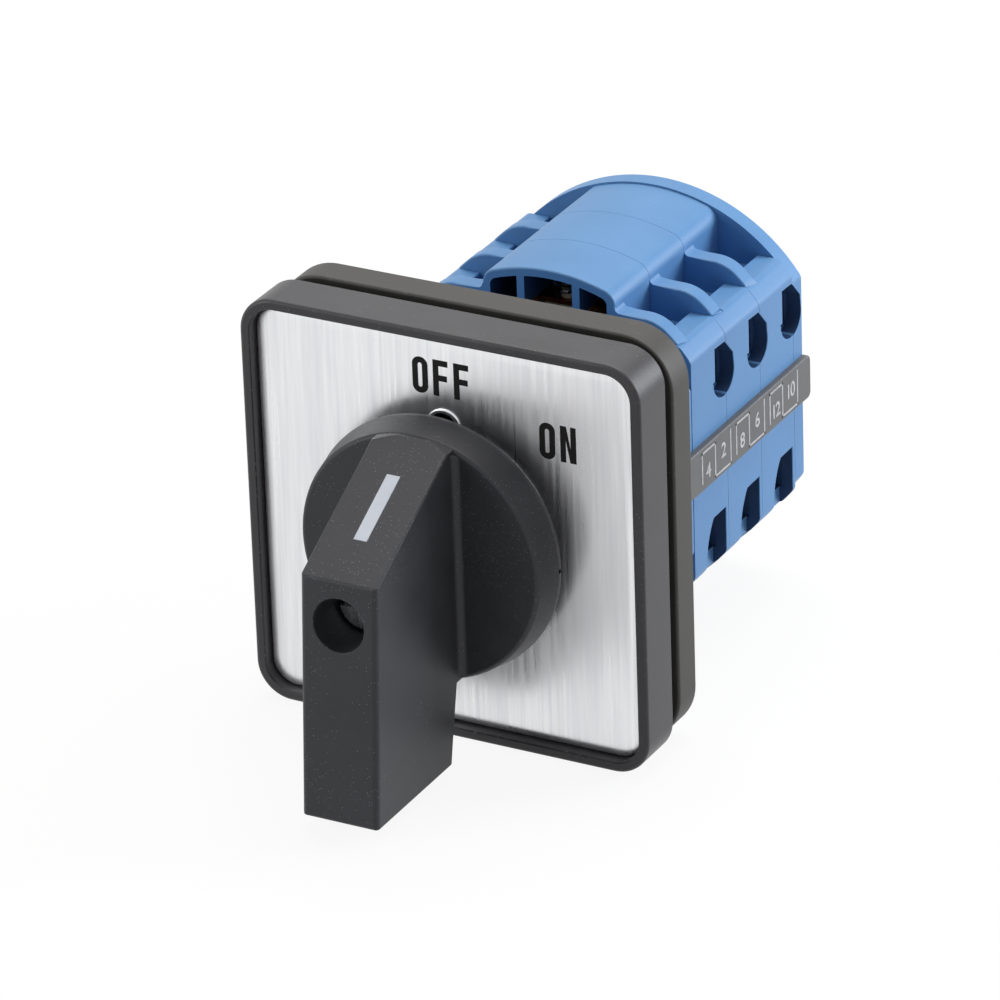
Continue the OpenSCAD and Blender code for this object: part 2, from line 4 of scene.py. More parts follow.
import bmesh
import bpy
from mathutils import Matrix, Vector


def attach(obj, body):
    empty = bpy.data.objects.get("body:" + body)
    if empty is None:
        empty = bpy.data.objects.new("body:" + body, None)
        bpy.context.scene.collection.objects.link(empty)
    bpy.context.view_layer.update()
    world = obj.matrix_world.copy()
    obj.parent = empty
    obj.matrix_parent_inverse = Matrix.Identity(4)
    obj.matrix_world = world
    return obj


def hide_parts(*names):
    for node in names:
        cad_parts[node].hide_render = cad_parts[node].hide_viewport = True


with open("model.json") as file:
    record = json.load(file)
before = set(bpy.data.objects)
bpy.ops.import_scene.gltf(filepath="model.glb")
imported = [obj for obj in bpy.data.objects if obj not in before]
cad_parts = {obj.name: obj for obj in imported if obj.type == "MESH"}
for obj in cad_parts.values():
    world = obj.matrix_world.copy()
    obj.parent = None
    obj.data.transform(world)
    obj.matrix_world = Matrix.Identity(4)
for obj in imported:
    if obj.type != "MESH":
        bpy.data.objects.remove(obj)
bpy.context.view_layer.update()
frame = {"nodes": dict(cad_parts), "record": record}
print("frame loaded:", len(frame["nodes"]), "nodes")

# Sizes in the dictionaries are in millimetres, in the frame of the CAD model:
# the shaft lies along Y, the handle is at -Y and Z is up.
mm = 0.001

# flat outlines are drawn in the two directions across an axis, and turned to it from the XY plane
across = {
    "X": Matrix(((0, 0, 1), (1, 0, 0), (0, 1, 0))),
    "Y": Matrix(((1, 0, 0), (0, 0, 1), (0, 1, 0))),
    "Z": Matrix(((1, 0, 0), (0, 1, 0), (0, 0, 1))),
}


def pickOnly(piece):
    if bpy.context.object and bpy.context.object.mode != "OBJECT":
        bpy.ops.object.mode_set(mode="OBJECT")
    bpy.ops.object.select_all(action="DESELECT")
    piece.select_set(True)
    bpy.context.view_layer.objects.active = piece


def settle(name):
    # place, turn and size go into the mesh
    piece = bpy.context.object
    bpy.ops.object.transform_apply(location=True, rotation=True, scale=True)
    piece.name = name
    piece.data.name = name
    return piece


def tidyMesh(piece, flat=0.1):
    pickOnly(piece)
    bpy.ops.object.mode_set(mode="EDIT")
    bpy.ops.mesh.select_all(action="SELECT")
    bpy.ops.mesh.remove_doubles(threshold=0.000002)
    bpy.ops.mesh.dissolve_limited(angle_limit=math.radians(flat))
    bpy.ops.mesh.normals_make_consistent(inside=False)
    bpy.ops.object.mode_set(mode="OBJECT")
    return piece


def addBlock(name, low, high):
    low = Vector(low) * mm
    high = Vector(high) * mm
    bpy.ops.object.select_all(action="DESELECT")
    bpy.ops.mesh.primitive_cube_add(size=1, location=(low + high) / 2)
    bpy.context.object.scale = high - low
    return settle(name)


def addRod(name, radius, start, end, at=(0, 0), axis="Y", tipRadius=None, sides=128):
    # at gives the two coordinates across the axis, in X, Y, Z order
    middle = (start + end) / 2
    place = {"X": (middle, at[0], at[1]), "Y": (at[0], middle, at[1]), "Z": (at[0], at[1], middle)}[axis]
    turn = {"X": (0, math.pi / 2, 0), "Y": (-math.pi / 2, 0, 0), "Z": (0, 0, 0)}[axis]
    bpy.ops.object.select_all(action="DESELECT")
    bpy.ops.mesh.primitive_cone_add(
        vertices=sides, radius1=radius * mm, radius2=(radius if tipRadius is None else tipRadius) * mm,
        depth=(end - start) * mm, location=Vector(place) * mm, rotation=turn)
    return settle(name)


def drawPrism(name, outline, start, end, axis="Y"):
    # a filled ring is pulled onto the outline and extruded along the axis
    bpy.ops.object.select_all(action="DESELECT")
    bpy.ops.mesh.primitive_circle_add(vertices=len(outline), radius=mm, fill_type="NGON")
    piece = bpy.context.object
    for vertex, (u, v) in zip(piece.data.vertices, outline):
        vertex.co = across[axis] @ Vector((u * mm, v * mm, start * mm))
    reach = across[axis] @ Vector((0, 0, (end - start) * mm))
    bpy.ops.object.mode_set(mode="EDIT")
    bpy.ops.mesh.select_all(action="SELECT")
    bpy.ops.mesh.extrude_region_move(TRANSFORM_OT_translate={"value": reach})
    bpy.ops.mesh.select_all(action="SELECT")
    bpy.ops.mesh.remove_doubles(threshold=0.000002)
    bpy.ops.mesh.normals_make_consistent(inside=False)
    bpy.ops.object.mode_set(mode="OBJECT")
    return settle(name)


def combine(piece, *tools, how="DIFFERENCE"):
    for tool in tools:
        pickOnly(piece)
        modifier = piece.modifiers.new("combine", "BOOLEAN")
        modifier.operation = how
        modifier.solver = "EXACT"
        modifier.object = tool
        bpy.ops.object.modifier_apply(modifier=modifier.name)
        bpy.data.objects.remove(tool, do_unlink=True)
    return tidyMesh(piece)


def joinPieces(pieces, name):
    pickOnly(pieces[0])
    for piece in pieces[1:]:
        piece.select_set(True)
    bpy.ops.object.join()
    return settle(name)


def roundEdges(piece, rules, segments=3, sharper=25):
    # each rule is a width and a test on an edge and its middle in millimetres; the first that fits counts
    pickOnly(piece)
    widest = max(width for width, test in rules)
    mesh = bmesh.new()
    mesh.from_mesh(piece.data)
    share = mesh.edges.layers.float.new("bevel_weight_edge")
    for edge in mesh.edges:
        if len(edge.link_faces) != 2 or edge.calc_face_angle() < math.radians(sharper):
            continue
        middle = (edge.verts[0].co + edge.verts[1].co) / 2 / mm
        for width, test in rules:
            if test(middle, edge):
                edge[share] = width / widest
                break
    mesh.to_mesh(piece.data)
    mesh.free()
    modifier = piece.modifiers.new("rounding", "BEVEL")
    modifier.limit_method = "WEIGHT"
    modifier.width = widest * mm
    modifier.segments = segments
    modifier.use_clamp_overlap = False
    bpy.ops.object.modifier_apply(modifier=modifier.name)
    spare = piece.data.attributes.get("bevel_weight_edge")
    if spare:
        piece.data.attributes.remove(spare)
    return piece


def softenNode(node, width=0.15, flat=2, segments=2, sharper=35):
    # a copy of a CAD node with its edges broken
    bpy.ops.object.select_all(action="DESELECT")
    source = frame["nodes"][node]
    twin = source.copy()
    twin.data = source.data.copy()
    twin.parent = None
    for key in list(twin.keys()):
        del twin[key]
    bpy.context.scene.collection.objects.link(twin)
    twin.name = node + "_finished"
    twin.data.name = twin.name
    tidyMesh(twin, flat)
    return roundEdges(twin, [(width, lambda at, edge: True)], segments, sharper)


def finish(piece, body, finishName, replaced=(), smooth=30):
    pickOnly(piece)
    bpy.ops.object.shade_smooth_by_angle(angle=math.radians(smooth))
    weight = piece.modifiers.new("weight", "WEIGHTED_NORMAL")
    weight.keep_sharp = True
    weight.weight = 100
    bpy.ops.object.modifier_apply(modifier=weight.name)
    piece.data.materials.clear()
    piece.data.materials.append(finishes[finishName])
    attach(piece, body)
    if replaced:
        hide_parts(*replaced)
    return piece


def arc(x, z, radius, first, last, steps):
    angles = [math.radians(first + (last - first) * i / steps) for i in range(steps + 1)]
    return [(x + radius * math.cos(a), z + radius * math.sin(a)) for a in angles]


def roundedBox(low, high, radius, steps=14):
    x0, z0 = low[0] + radius, low[1] + radius
    x1, z1 = high[0] - radius, high[1] - radius
    return (arc(x1, z1, radius, 0, 90, steps) + arc(x0, z1, radius, 90, 180, steps)
            + arc(x0, z0, radius, 180, 270, steps) + arc(x1, z0, radius, 270, 360, steps))


def roundedSquare(width, radius):
    return roundedBox((-width / 2, -width / 2), (width / 2, width / 2), radius)


def outermost(at):
    return max(abs(at.x), abs(at.z))


def alongAxis(edge):
    # true for an edge that runs along the shaft
    return abs(edge.verts[0].co.y - edge.verts[1].co.y) > 0.00002


def linear(red, green, blue):
    # a colour as written on screen, 0 to 255, to the shader's values
    def channel(value):
        value /= 255
        return value / 12.92 if value <= 0.04045 else ((value + 0.055) / 1.055) ** 2.4
    return (channel(red), channel(green), channel(blue), 1)


class Sheet:
    # one node tree, material or group, with short ways to add and join nodes
    def __init__(self, tree):
        self.tree = tree

    def add(self, kind, values=None, **settings):
        node = self.tree.nodes.new(kind)
        for key, value in settings.items():
            setattr(node, key, value)
        for socket, value in (values or {}).items():
            if isinstance(value, bpy.types.NodeSocket):
                self.tree.links.new(value, node.inputs[socket])
            else:
                node.inputs[socket].default_value = value
        return node

    def maths(self, operation, first, second=0.0):
        return self.add("ShaderNodeMath", {0: first, 1: second}, operation=operation).outputs[0]

    def remap(self, value, fromLow, fromHigh, toLow, toHigh):
        node = self.add("ShaderNodeMapRange", {"Value": value, "From Min": fromLow, "From Max": fromHigh,
                                               "To Min": toLow, "To Max": toHigh})
        return node.outputs["Result"]

    def mixColour(self, factor, first, second, blend="MIX"):
        node = self.add("ShaderNodeMix", data_type="RGBA", blend_type=blend)
        for index, value in ((0, factor), (6, first), (7, second)):
            if isinstance(value, bpy.types.NodeSocket):
                self.tree.links.new(value, node.inputs[index])
            else:
                node.inputs[index].default_value = value
        return node.outputs[2]

    def place(self, stretch=(1, 1, 1)):
        source = self.add("ShaderNodeTexCoord").outputs["Object"]
        return self.add("ShaderNodeMapping", {"Vector": source, "Scale": stretch}).outputs["Vector"]

    def noise(self, vector, scale, detail=3.0, roughness=0.55):
        return self.add("ShaderNodeTexNoise", {"Vector": vector, "Scale": scale, "Detail": detail,
                                               "Roughness": roughness}).outputs["Fac"]


def newGroup(name, inputs, outputs):
    tree = bpy.data.node_groups.new(name, "ShaderNodeTree")
    for title, value in inputs:
        socket = tree.interface.new_socket(title, in_out="INPUT", socket_type="NodeSocketFloat")
        socket.default_value = value
    for title in outputs:
        tree.interface.new_socket(title, in_out="OUTPUT", socket_type="NodeSocketFloat")
    sheet = Sheet(tree)
    return sheet, sheet.add("NodeGroupInput"), sheet.add("NodeGroupOutput")


def makeMouldGrain():
    # the fine spark texture of a moulding tool: a height, and a slow cloud over the surface
    sheet, given, out = newGroup("mouldGrain", [("Fineness", 3500.0), ("Cloud Size", 90.0)], ["Height", "Cloud"])
    place = sheet.place()
    fine = sheet.noise(place, given.outputs["Fineness"], 2.0, 0.6)
    pitSize = sheet.maths("MULTIPLY", given.outputs["Fineness"], 0.7)
    pits = sheet.add("ShaderNodeTexVoronoi", {"Vector": place, "Scale": pitSize}).outputs["Distance"]
    height = sheet.maths("ADD", sheet.maths("MULTIPLY", fine, 0.7), sheet.maths("MULTIPLY", pits, 0.3))
    cloud = sheet.noise(place, given.outputs["Cloud Size"], 4.0, 0.6)
    sheet.tree.links.new(height, out.inputs["Height"])
    sheet.tree.links.new(cloud, out.inputs["Cloud"])
    return sheet.tree


def makeEdgeWear():
    # how far an edge is rubbed, from 0 to 1, with a few bare nicks
    sheet, given, out = newGroup("edgeWear", [("Amount", 1.0), ("Nicks", 0.5)], ["Rub", "Nick"])
    rounded = sheet.add("ShaderNodeBevel", {"Radius": 0.35 * mm}, samples=4).outputs["Normal"]
    flat = sheet.add("ShaderNodeNewGeometry").outputs["True Normal"]
    match = sheet.add("ShaderNodeVectorMath", {0: rounded, 1: flat}, operation="DOT_PRODUCT").outputs["Value"]
    edge = sheet.remap(match, 0.99, 0.9, 0.0, 1.0)
    place = sheet.place()
    broken = sheet.remap(sheet.noise(place, 420.0, 5.0, 0.7), 0.4, 0.6, 0.35, 1.0)
    rub = sheet.maths("MULTIPLY", sheet.maths("MULTIPLY", edge, broken), given.outputs["Amount"])
    spots = sheet.remap(sheet.noise(place, 1300.0, 3.0, 0.6), 0.57, 0.63, 0.0, 1.0)
    areas = sheet.remap(sheet.noise(place, 130.0, 2.0, 0.5), 0.45, 0.56, 0.0, 1.0)
    nick = sheet.maths("MULTIPLY", sheet.maths("MULTIPLY", spots, areas), edge)
    nick = sheet.maths("MULTIPLY", nick, given.outputs["Nicks"])
    sheet.tree.links.new(rub, out.inputs["Rub"])
    sheet.tree.links.new(nick, out.inputs["Nick"])
    return sheet.tree


def makeDust():
    # scattered light specks that gather in patches
    sheet, given, out = newGroup("dust", [("Density", 0.5), ("Speck Size", 0.16)], ["Specks"])
    place = sheet.place()
    cells = sheet.add("ShaderNodeTexVoronoi", {"Vector": place, "Scale": 2700.0})
    dot = sheet.maths("LESS_THAN", cells.outputs["Distance"], given.outputs["Speck Size"])
    lucky = sheet.add("ShaderNodeSeparateColor", {"Color": cells.outputs["Color"]}).outputs["Red"]
    patches = sheet.remap(sheet.noise(place, 85.0, 3.0, 0.6), 0.42, 0.7, 0.0, 1.0)
    chance = sheet.maths("MULTIPLY", patches, given.outputs["Density"])
    kept = sheet.maths("LESS_THAN", lucky, chance)
    sheet.tree.links.new(sheet.maths("MULTIPLY", dot, kept), out.inputs["Specks"])
    return sheet.tree


def makeBrushing():
    # long parallel scratches along Z: a height, fine streaks and broad bands
    sheet, given, out = newGroup("brushing", [("Fineness", 1.0)], ["Height", "Streaks", "Broad"])
    fine = sheet.noise(sheet.place((5200, 300, 45)), given.outputs["Fineness"], 3.0, 0.6)
    streaks = sheet.noise(sheet.place((1500, 200, 38)), given.outputs["Fineness"], 4.0, 0.65)
    broad = sheet.noise(sheet.place((260, 60, 30)), given.outputs["Fineness"], 3.0, 0.6)
    for title, socket in (("Height", fine), ("Streaks", streaks), ("Broad", broad)):
        sheet.tree.links.new(socket, out.inputs[title])
    return sheet.tree


mouldGrain = makeMouldGrain()
edgeWear = makeEdgeWear()
dust = makeDust()
brushing = makeBrushing()


def newFinish(name):
    material = bpy.data.materials.new(name)
    material.use_nodes = True
    sheet = Sheet(material.node_tree)
    shader = next(node for node in sheet.tree.nodes if node.type == "BSDF_PRINCIPLED")
    return material, sheet, shader


def placeGroup(sheet, tree, **values):
    node = sheet.add("ShaderNodeGroup", node_tree=tree)
    for title, value in values.items():
        node.inputs[title.replace("_", " ")].default_value = value
    return node


def addBump(sheet, shader, height, distance, strength=1.0):
    bump = sheet.add("ShaderNodeBump", {"Height": height, "Strength": strength, "Distance": distance})
    sheet.tree.links.new(bump.outputs["Normal"], shader.inputs["Normal"])


def plasticFinish(name, look):
    material, sheet, shader = newFinish(name)
    grain = placeGroup(sheet, mouldGrain, Fineness=look["grain"], Cloud_Size=look["cloud"])
    wear = placeGroup(sheet, edgeWear, Amount=look["wear"], Nicks=look["nicks"])
    specks = placeGroup(sheet, dust, Density=look["dust"], Speck_Size=look["speck"])
    cloud = sheet.remap(grain.outputs["Cloud"], 0.3, 0.7, 0.0, 1.0)
    colour = sheet.mixColour(cloud, linear(*look["dark"]), linear(*look["light"]))
    colour = sheet.mixColour(wear.outputs["Rub"], colour, linear(*look["edge"]))
    colour = sheet.mixColour(wear.outputs["Nick"], colour, linear(*look["bare"]))
    colour = sheet.mixColour(specks.outputs["Specks"], colour, linear(*look["speckColour"]))
    sheet.tree.links.new(colour, shader.inputs["Base Color"])
    rough = sheet.remap(grain.outputs["Cloud"], 0.3, 0.7, look["rough"] - 0.04, look["rough"] + 0.05)
    sheet.tree.links.new(rough, shader.inputs["Roughness"])
    addBump(sheet, shader, grain.outputs["Height"], look["depth"] * mm)
    shader.inputs["Specular IOR Level"].default_value = look["specular"]
    return material


def metalFinish(name, look):
    material, sheet, shader = newFinish(name)
    shader.inputs["Metallic"].default_value = 1.0
    cloud = sheet.noise(sheet.place(), look["cloud"], 4.0, 0.65)
    scratch = sheet.noise(sheet.place((3000, 260, 260)), 1.0, 3.0, 0.6)
    blend = sheet.remap(cloud, 0.35, 0.65, 0, 1)
    colour = sheet.mixColour(blend, linear(*look["dark"]), linear(*look["light"]))
    sheet.tree.links.new(colour, shader.inputs["Base Color"])
    rough = sheet.remap(scratch, 0.3, 0.7, look["rough"] - 0.07, look["rough"] + 0.1)
    sheet.tree.links.new(rough, shader.inputs["Roughness"])
    addBump(sheet, shader, scratch, 0.01 * mm)
    return material


def plateFinish(name, look):
    material, sheet, shader = newFinish(name)
    shader.inputs["Metallic"].default_value = look["metallic"]
    shader.inputs["Anisotropic"].default_value = look["anisotropy"]
    lines = placeGroup(sheet, brushing)
    streaks = sheet.remap(lines.outputs["Streaks"], 0.34, 0.66, 0.0, 1.0)
    broad = sheet.remap(lines.outputs["Broad"], 0.35, 0.65, 0.0, 1.0)
    colour = sheet.mixColour(streaks, linear(*look["dark"]), linear(*look["light"]))
    colour = sheet.mixColour(sheet.maths("MULTIPLY", broad, 0.35), colour, linear(*look["broad"]))
    sheet.tree.links.new(colour, shader.inputs["Base Color"])
    rough = sheet.remap(streaks, 0, 1, look["rough"] + 0.08, look["rough"] - 0.06)
    sheet.tree.links.new(rough, shader.inputs["Roughness"])
    addBump(sheet, shader, lines.outputs["Height"], look["depth"] * mm, 0.8)
    along = sheet.add("ShaderNodeTangent", direction_type="RADIAL", axis="Z")
    sheet.tree.links.new(along.outputs["Tangent"], shader.inputs["Tangent"])
    return material


blackLook = {"dark": (50, 51, 55), "light": (59, 60, 64), "edge": (92, 93, 96), "bare": (170, 168, 160),
             "speckColour": (150, 150, 150), "grain": 3600.0, "cloud": 110.0, "depth": 0.02, "rough": 0.42,
             "wear": 0.35, "nicks": 0.3, "dust": 0.05, "speck": 0.16, "specular": 0.35}
handleLook = dict(blackLook, dust=0.6, speck=0.2, rough=0.45, nicks=0.25, speckColour=(118, 118, 120))
bezelLook = dict(blackLook, dark=(60, 60, 63), light=(72, 71, 74), rough=0.36, dust=0.12, nicks=1.0)
mountLook = dict(blackLook, dark=(60, 59, 57), light=(72, 70, 67), rough=0.5, dust=0.1, nicks=0.6)
blueLook = dict(blackLook, dark=(90, 140, 192), light=(101, 150, 200), edge=(122, 170, 216),
                bare=(190, 212, 234), speckColour=(176, 200, 226), grain=2600.0, cloud=60.0, depth=0.012,
                rough=0.42, wear=0.4, nicks=0.1, dust=0.02)
# painted shade: a darker blue for the insides of the rooms, chambers and windows, also rougher and less rubbed
paintedShadeLook = dict(blueLook, dark=(34, 62, 102), light=(42, 72, 114), edge=(56, 92, 138), rough=0.6, wear=0.2)
stripLook = dict(blackLook, dark=(94, 94, 95), light=(106, 106, 106), edge=(136, 136, 136),
                 speckColour=(170, 170, 170), cloud=130.0, depth=0.01, rough=0.4, wear=0.3)
markLook = dict(blackLook, dark=(216, 223, 236), light=(226, 232, 243), edge=(232, 237, 245),
                speckColour=(170, 176, 184), cloud=160.0, depth=0.01, rough=0.55, wear=0.2, nicks=0.0)
rubberLook = dict(blackLook, dark=(20, 20, 21), light=(28, 28, 29), edge=(46, 46, 46), grain=1800.0,
                  depth=0.03, rough=0.75, nicks=0.0)
camLook = dict(blackLook, dark=(206, 198, 176), light=(220, 214, 194), edge=(228, 224, 208),
               speckColour=(180, 174, 158), grain=2200.0, cloud=90.0, depth=0.012, nicks=0.0)
inkLook = dict(blackLook, dark=(10, 10, 11), light=(15, 15, 16), edge=(15, 15, 16), cloud=200.0,
               depth=0.004, rough=0.6, wear=0.0, nicks=0.0, dust=0.02, specular=0.2)
printLook = dict(blackLook, dark=(176, 177, 178), light=(214, 214, 214), edge=(214, 214, 214),
                 speckColour=(130, 130, 130), grain=2200.0, cloud=900.0, depth=0.006, rough=0.6, wear=0.0,
                 nicks=0.0, dust=0.1)
plateLook = {"dark": (236, 237, 240), "light": (250, 250, 251), "broad": (232, 234, 236), "rough": 0.33, "metallic": 0.88,
             "anisotropy": 0.6, "depth": 0.0032}
zincLook = {"dark": (168, 170, 174), "light": (204, 206, 210), "rough": 0.28, "cloud": 260.0}

finishes = {
    "blackPlastic": plasticFinish("blackPlastic", blackLook),
    "handlePlastic": plasticFinish("handlePlastic", handleLook),
    "bezelPlastic": plasticFinish("bezelPlastic", bezelLook),
    "mountPlastic": plasticFinish("mountPlastic", mountLook),
    "bluePlastic": plasticFinish("bluePlastic", blueLook),
    # the painted shade finish for the insides of the blue body
    "bluePaintedShade": plasticFinish("bluePaintedShade", paintedShadeLook),
    "stripPlastic": plasticFinish("stripPlastic", stripLook),
    "markPaint": plasticFinish("markPaint", markLook),
    "rubber": plasticFinish("rubber", rubberLook),
    "camPlastic": plasticFinish("camPlastic", camLook),
    "legendInk": plasticFinish("legendInk", inkLook),
    "stripPrint": plasticFinish("stripPrint", printLook),
    "brushedPlate": plateFinish("brushedPlate", plateLook),
    "zincSteel": metalFinish("zincSteel", zincLook),
    "springSteel": metalFinish("springSteel", dict(zincLook, dark=(70, 70, 72), light=(100, 100, 102))),
    "brass": metalFinish("brass", dict(zincLook, dark=(190, 158, 88), light=(222, 192, 122))),
    "copper": metalFinish("copper", dict(zincLook, dark=(134, 80, 58), light=(166, 104, 78), rough=0.36)),
}

slotFinish = {
    "black_plastic": "blackPlastic", "white_mark": "markPaint", "legend_plate": "brushedPlate",
    "gasket": "rubber", "steel": "zincSteel", "spring_steel": "springSteel", "zinc_steel": "zincSteel",
    "brass": "brass", "blue_plastic": "bluePlastic", "cam_plastic": "camPlastic", "copper": "copper",
    "grey_strip": "stripPlastic",
}
for part in frame["record"]["subparts"]:
    node = frame["nodes"][part["node"]]
    node.data.materials.clear()
    node.data.materials.append(finishes[slotFinish[part["material_slot"]]])
print("finishes ready")

view = {"place": (451.2, -809.9, 452.9), "turn": (64.056, 1.799, 27.975), "lens": 259.9}
camera = bpy.data.cameras.new("camera")
camera.lens = view["lens"]
camera.sensor_width = 36
camera.clip_start = 0.05
camera.clip_end = 20
cameraObject = bpy.data.objects.new("camera", camera)
cameraObject.location = Vector(view["place"]) * mm
cameraObject.rotation_euler = [math.radians(a) for a in view["turn"]]
bpy.context.scene.collection.objects.link(cameraObject)
bpy.context.scene.camera = cameraObject


def seenDirectly(sheet):
    # 1 for what the camera sees straight on, in a mirror or through glass
    rays = sheet.add("ShaderNodeLightPath")
    seen = sheet.maths("MAXIMUM", rays.outputs["Is Camera Ray"], rays.outputs["Is Glossy Ray"])
    return sheet.maths("MAXIMUM", seen, rays.outputs["Is Transmission Ray"])


floorLook = {"level": -32.05, "size": 2400, "shade": (188, 188, 188), "glow": 1.13, "share": 0.8}
bpy.ops.object.select_all(action="DESELECT")
bpy.ops.mesh.primitive_plane_add(size=floorLook["size"] * mm, location=(0, 0, floorLook["level"] * mm))
floor = settle("floor")
paper, sheet, shader = newFinish("paper")
shader.inputs["Base Color"].default_value = linear(*floorLook["shade"])
shader.inputs["Roughness"].default_value = 0.9
glow = sheet.add("ShaderNodeEmission", {"Color": (1, 1, 1, 1), "Strength": floorLook["glow"]})
blend = sheet.add("ShaderNodeMixShader", {0: sheet.maths("MULTIPLY", seenDirectly(sheet), floorLook["share"])})
sheet.tree.links.new(shader.outputs["BSDF"], blend.inputs[1])
sheet.tree.links.new(glow.outputs["Emission"], blend.inputs[2])
sheet.tree.links.new(blend.outputs["Shader"], sheet.tree.nodes["Material Output"].inputs["Surface"])
floor.data.materials.append(paper)

worldLook = {"ambient": (236, 240, 246), "strength": 0.2}
world = bpy.data.worlds.new("studio")
bpy.context.scene.world = world
world.use_nodes = True
sheet = Sheet(world.node_tree)
room = world.node_tree.nodes["Background"]
room.inputs["Color"].default_value = linear(*worldLook["ambient"])
room.inputs["Strength"].default_value = worldLook["strength"]
white = sheet.add("ShaderNodeBackground", {"Color": (1, 1, 1, 1), "Strength": 1.0})
blend = sheet.add("ShaderNodeMixShader", {0: seenDirectly(sheet)})
sheet.tree.links.new(room.outputs["Background"], blend.inputs[1])
sheet.tree.links.new(white.outputs["Background"], blend.inputs[2])
sheet.tree.links.new(blend.outputs["Shader"], world.node_tree.nodes["World Output"].inputs["Surface"])

# place, width and height, power and tint of each soft box; all of them face the object
lamps = {
    "topBox": {"place": (-40, 240, 590), "size": (560, 480), "power": 3.3, "shade": (255, 252, 248)},
    "leftBox": {"place": (-560, -520, 260), "size": (360, 440), "power": 1.7, "shade": (255, 255, 255)},
    "rightBox": {"place": (530, 460, 200), "size": (340, 400), "power": 3.9, "shade": (244, 248, 255)},
}
for name, lamp in lamps.items():
    light = bpy.data.lights.new(name, "AREA")
    light.shape = "RECTANGLE"
    light.size = lamp["size"][0] * mm
    light.size_y = lamp["size"][1] * mm
    light.energy = lamp["power"]
    light.color = linear(*lamp["shade"])[:3]
    lightObject = bpy.data.objects.new(name, light)
    lightObject.location = Vector(lamp["place"]) * mm
    lightObject.rotation_euler = (-lightObject.location).to_track_quat("-Z", "Y").to_euler()
    bpy.context.scene.collection.objects.link(lightObject)
bpy.context.scene.view_settings.view_transform = "Standard"
print("camera, floor and light ready")

bezel = {"width": 64, "cornerRadius": 5.6, "front": -8, "rim": 1.6, "floorY": -5.6, "gasketPocket": 1.5,
         "holeRadius": 9.3, "screwPitch": 48, "screwHole": 3.2, "headPocket": 4.4, "headPocketY": -2.8,
         "notchRadius": 2.2, "notchZ": 16.6, "notchDepth": 3, "outerRound": 0.6, "innerRound": 0.25}


def makeBezel(size):
    front = size["front"]
    floorY = size["floorY"]
    piece = drawPrism("bezel_frame", roundedSquare(size["width"], size["cornerRadius"]), front, 0)
    roundEdges(piece, [(size["outerRound"], lambda at, edge: at.y < front + 0.01),
                       (0.3, lambda at, edge: at.y > -0.01)], segments=4)
    inner = roundedSquare(size["width"] - 2 * size["rim"], size["cornerRadius"] - size["rim"])
    tools = [drawPrism("inner", inner, front - 1, floorY),
             drawPrism("pocket", roundedSquare(size["width"] - 6, size["cornerRadius"] - 2), -size["gasketPocket"], 1),
             addRod("hole", size["holeRadius"], floorY - 1, 1),
             addRod("notch", size["notchRadius"], floorY - 1, floorY + size["notchDepth"], (0, size["notchZ"]), sides=48)]
    half = size["screwPitch"] / 2
    for place in ((-half, -half), (half, -half), (half, half), (-half, half)):
        tools.append(addRod("screwHole", size["screwHole"], floorY - 1, 1, place, sides=48))
        tools.append(addRod("headPocket", size["headPocket"], floorY - 1, size["headPocketY"], place, sides=48))
    combine(piece, *tools)
    wall = size["width"] / 2 - size["rim"]
    roundEdges(piece, [(size["innerRound"], lambda at, edge: at.y < front + 0.02 and outermost(at) < wall + 0.1)])
    return finish(piece, "frame", "bezelPlastic", ["bezel"])


makeBezel(bezel)

legendPlate = {"width": 60.6, "cornerRadius": 3.9, "front": -6.4, "back": -5.6, "holeRadius": 16.6,
               "notchRadius": 2.2, "lipWidth": 0.6, "lipHeight": 0.3, "crown": 0.4, "holeRound": 0.16,
               "rollDrop": 0.3, "roll": ((0.5, 0.5), (0.6, 0.3), (0.8, 0.2))}


def holeOutline(plate, grow):
    # the round opening with its half-round notch at the top
    radius = plate["holeRadius"] + grow
    notch = plate["notchRadius"] + grow
    centre = plate["holeRadius"]
    height = (radius * radius - notch * notch + centre * centre) / (2 * centre)
    half = math.sqrt(radius * radius - height * height)
    outer = math.degrees(math.atan2(height, half))
    around = arc(0, 0, radius, 180 - outer, 360 + outer, 150)
    side = math.degrees(math.atan2(height - centre, half))
    bump = arc(0, centre, notch, side, 180 - side, 28)
    return around + bump[1:-1]


def makeLegendPlate(plate):
    front = plate["front"]
    edge = front + plate["rollDrop"]
    piece = drawPrism("legend_sheet", roundedSquare(plate["width"], plate["cornerRadius"]), edge, plate["back"])
    # the sheet rolls back softly towards its border
    bpy.ops.object.mode_set(mode="EDIT")
    bpy.ops.mesh.select_mode(type="FACE")
    bpy.ops.mesh.select_all(action="DESELECT")
    mesh = bmesh.from_edit_mesh(piece.data)
    for face in mesh.faces:
        face.select_set(face.normal.y < -0.9)
    bmesh.update_edit_mesh(piece.data)
    for width, drop in plate["roll"]:
        bpy.ops.mesh.inset(thickness=width * mm)
        bpy.ops.transform.translate(value=(0, -drop * plate["rollDrop"] * mm, 0))
    bpy.ops.object.mode_set(mode="OBJECT")
    roundEdges(piece, [(plate["crown"], lambda at, edge: outermost(at) > plate["width"] / 2 - 0.01
                        and at.y < plate["back"] - 0.1), (plate["crown"], lambda at, edge: at.y < plate["back"] - 0.1
                        and math.hypot(at.x, at.z) > plate["width"] * 0.65)], segments=5, sharper=60)
    lip = drawPrism("lip", holeOutline(plate, plate["lipWidth"]), front - plate["lipHeight"], plate["back"] - 0.1)
    combine(piece, lip, how="UNION")
    combine(piece, drawPrism("opening", holeOutline(plate, 0), front - 2, plate["back"] + 1))
    roundEdges(piece, [(plate["holeRound"], lambda at, edge: at.y < front - 0.05 and outermost(at) < 24)])
    return finish(piece, "frame", "brushedPlate", ["legend_plate"])


makeLegendPlate(legendPlate)

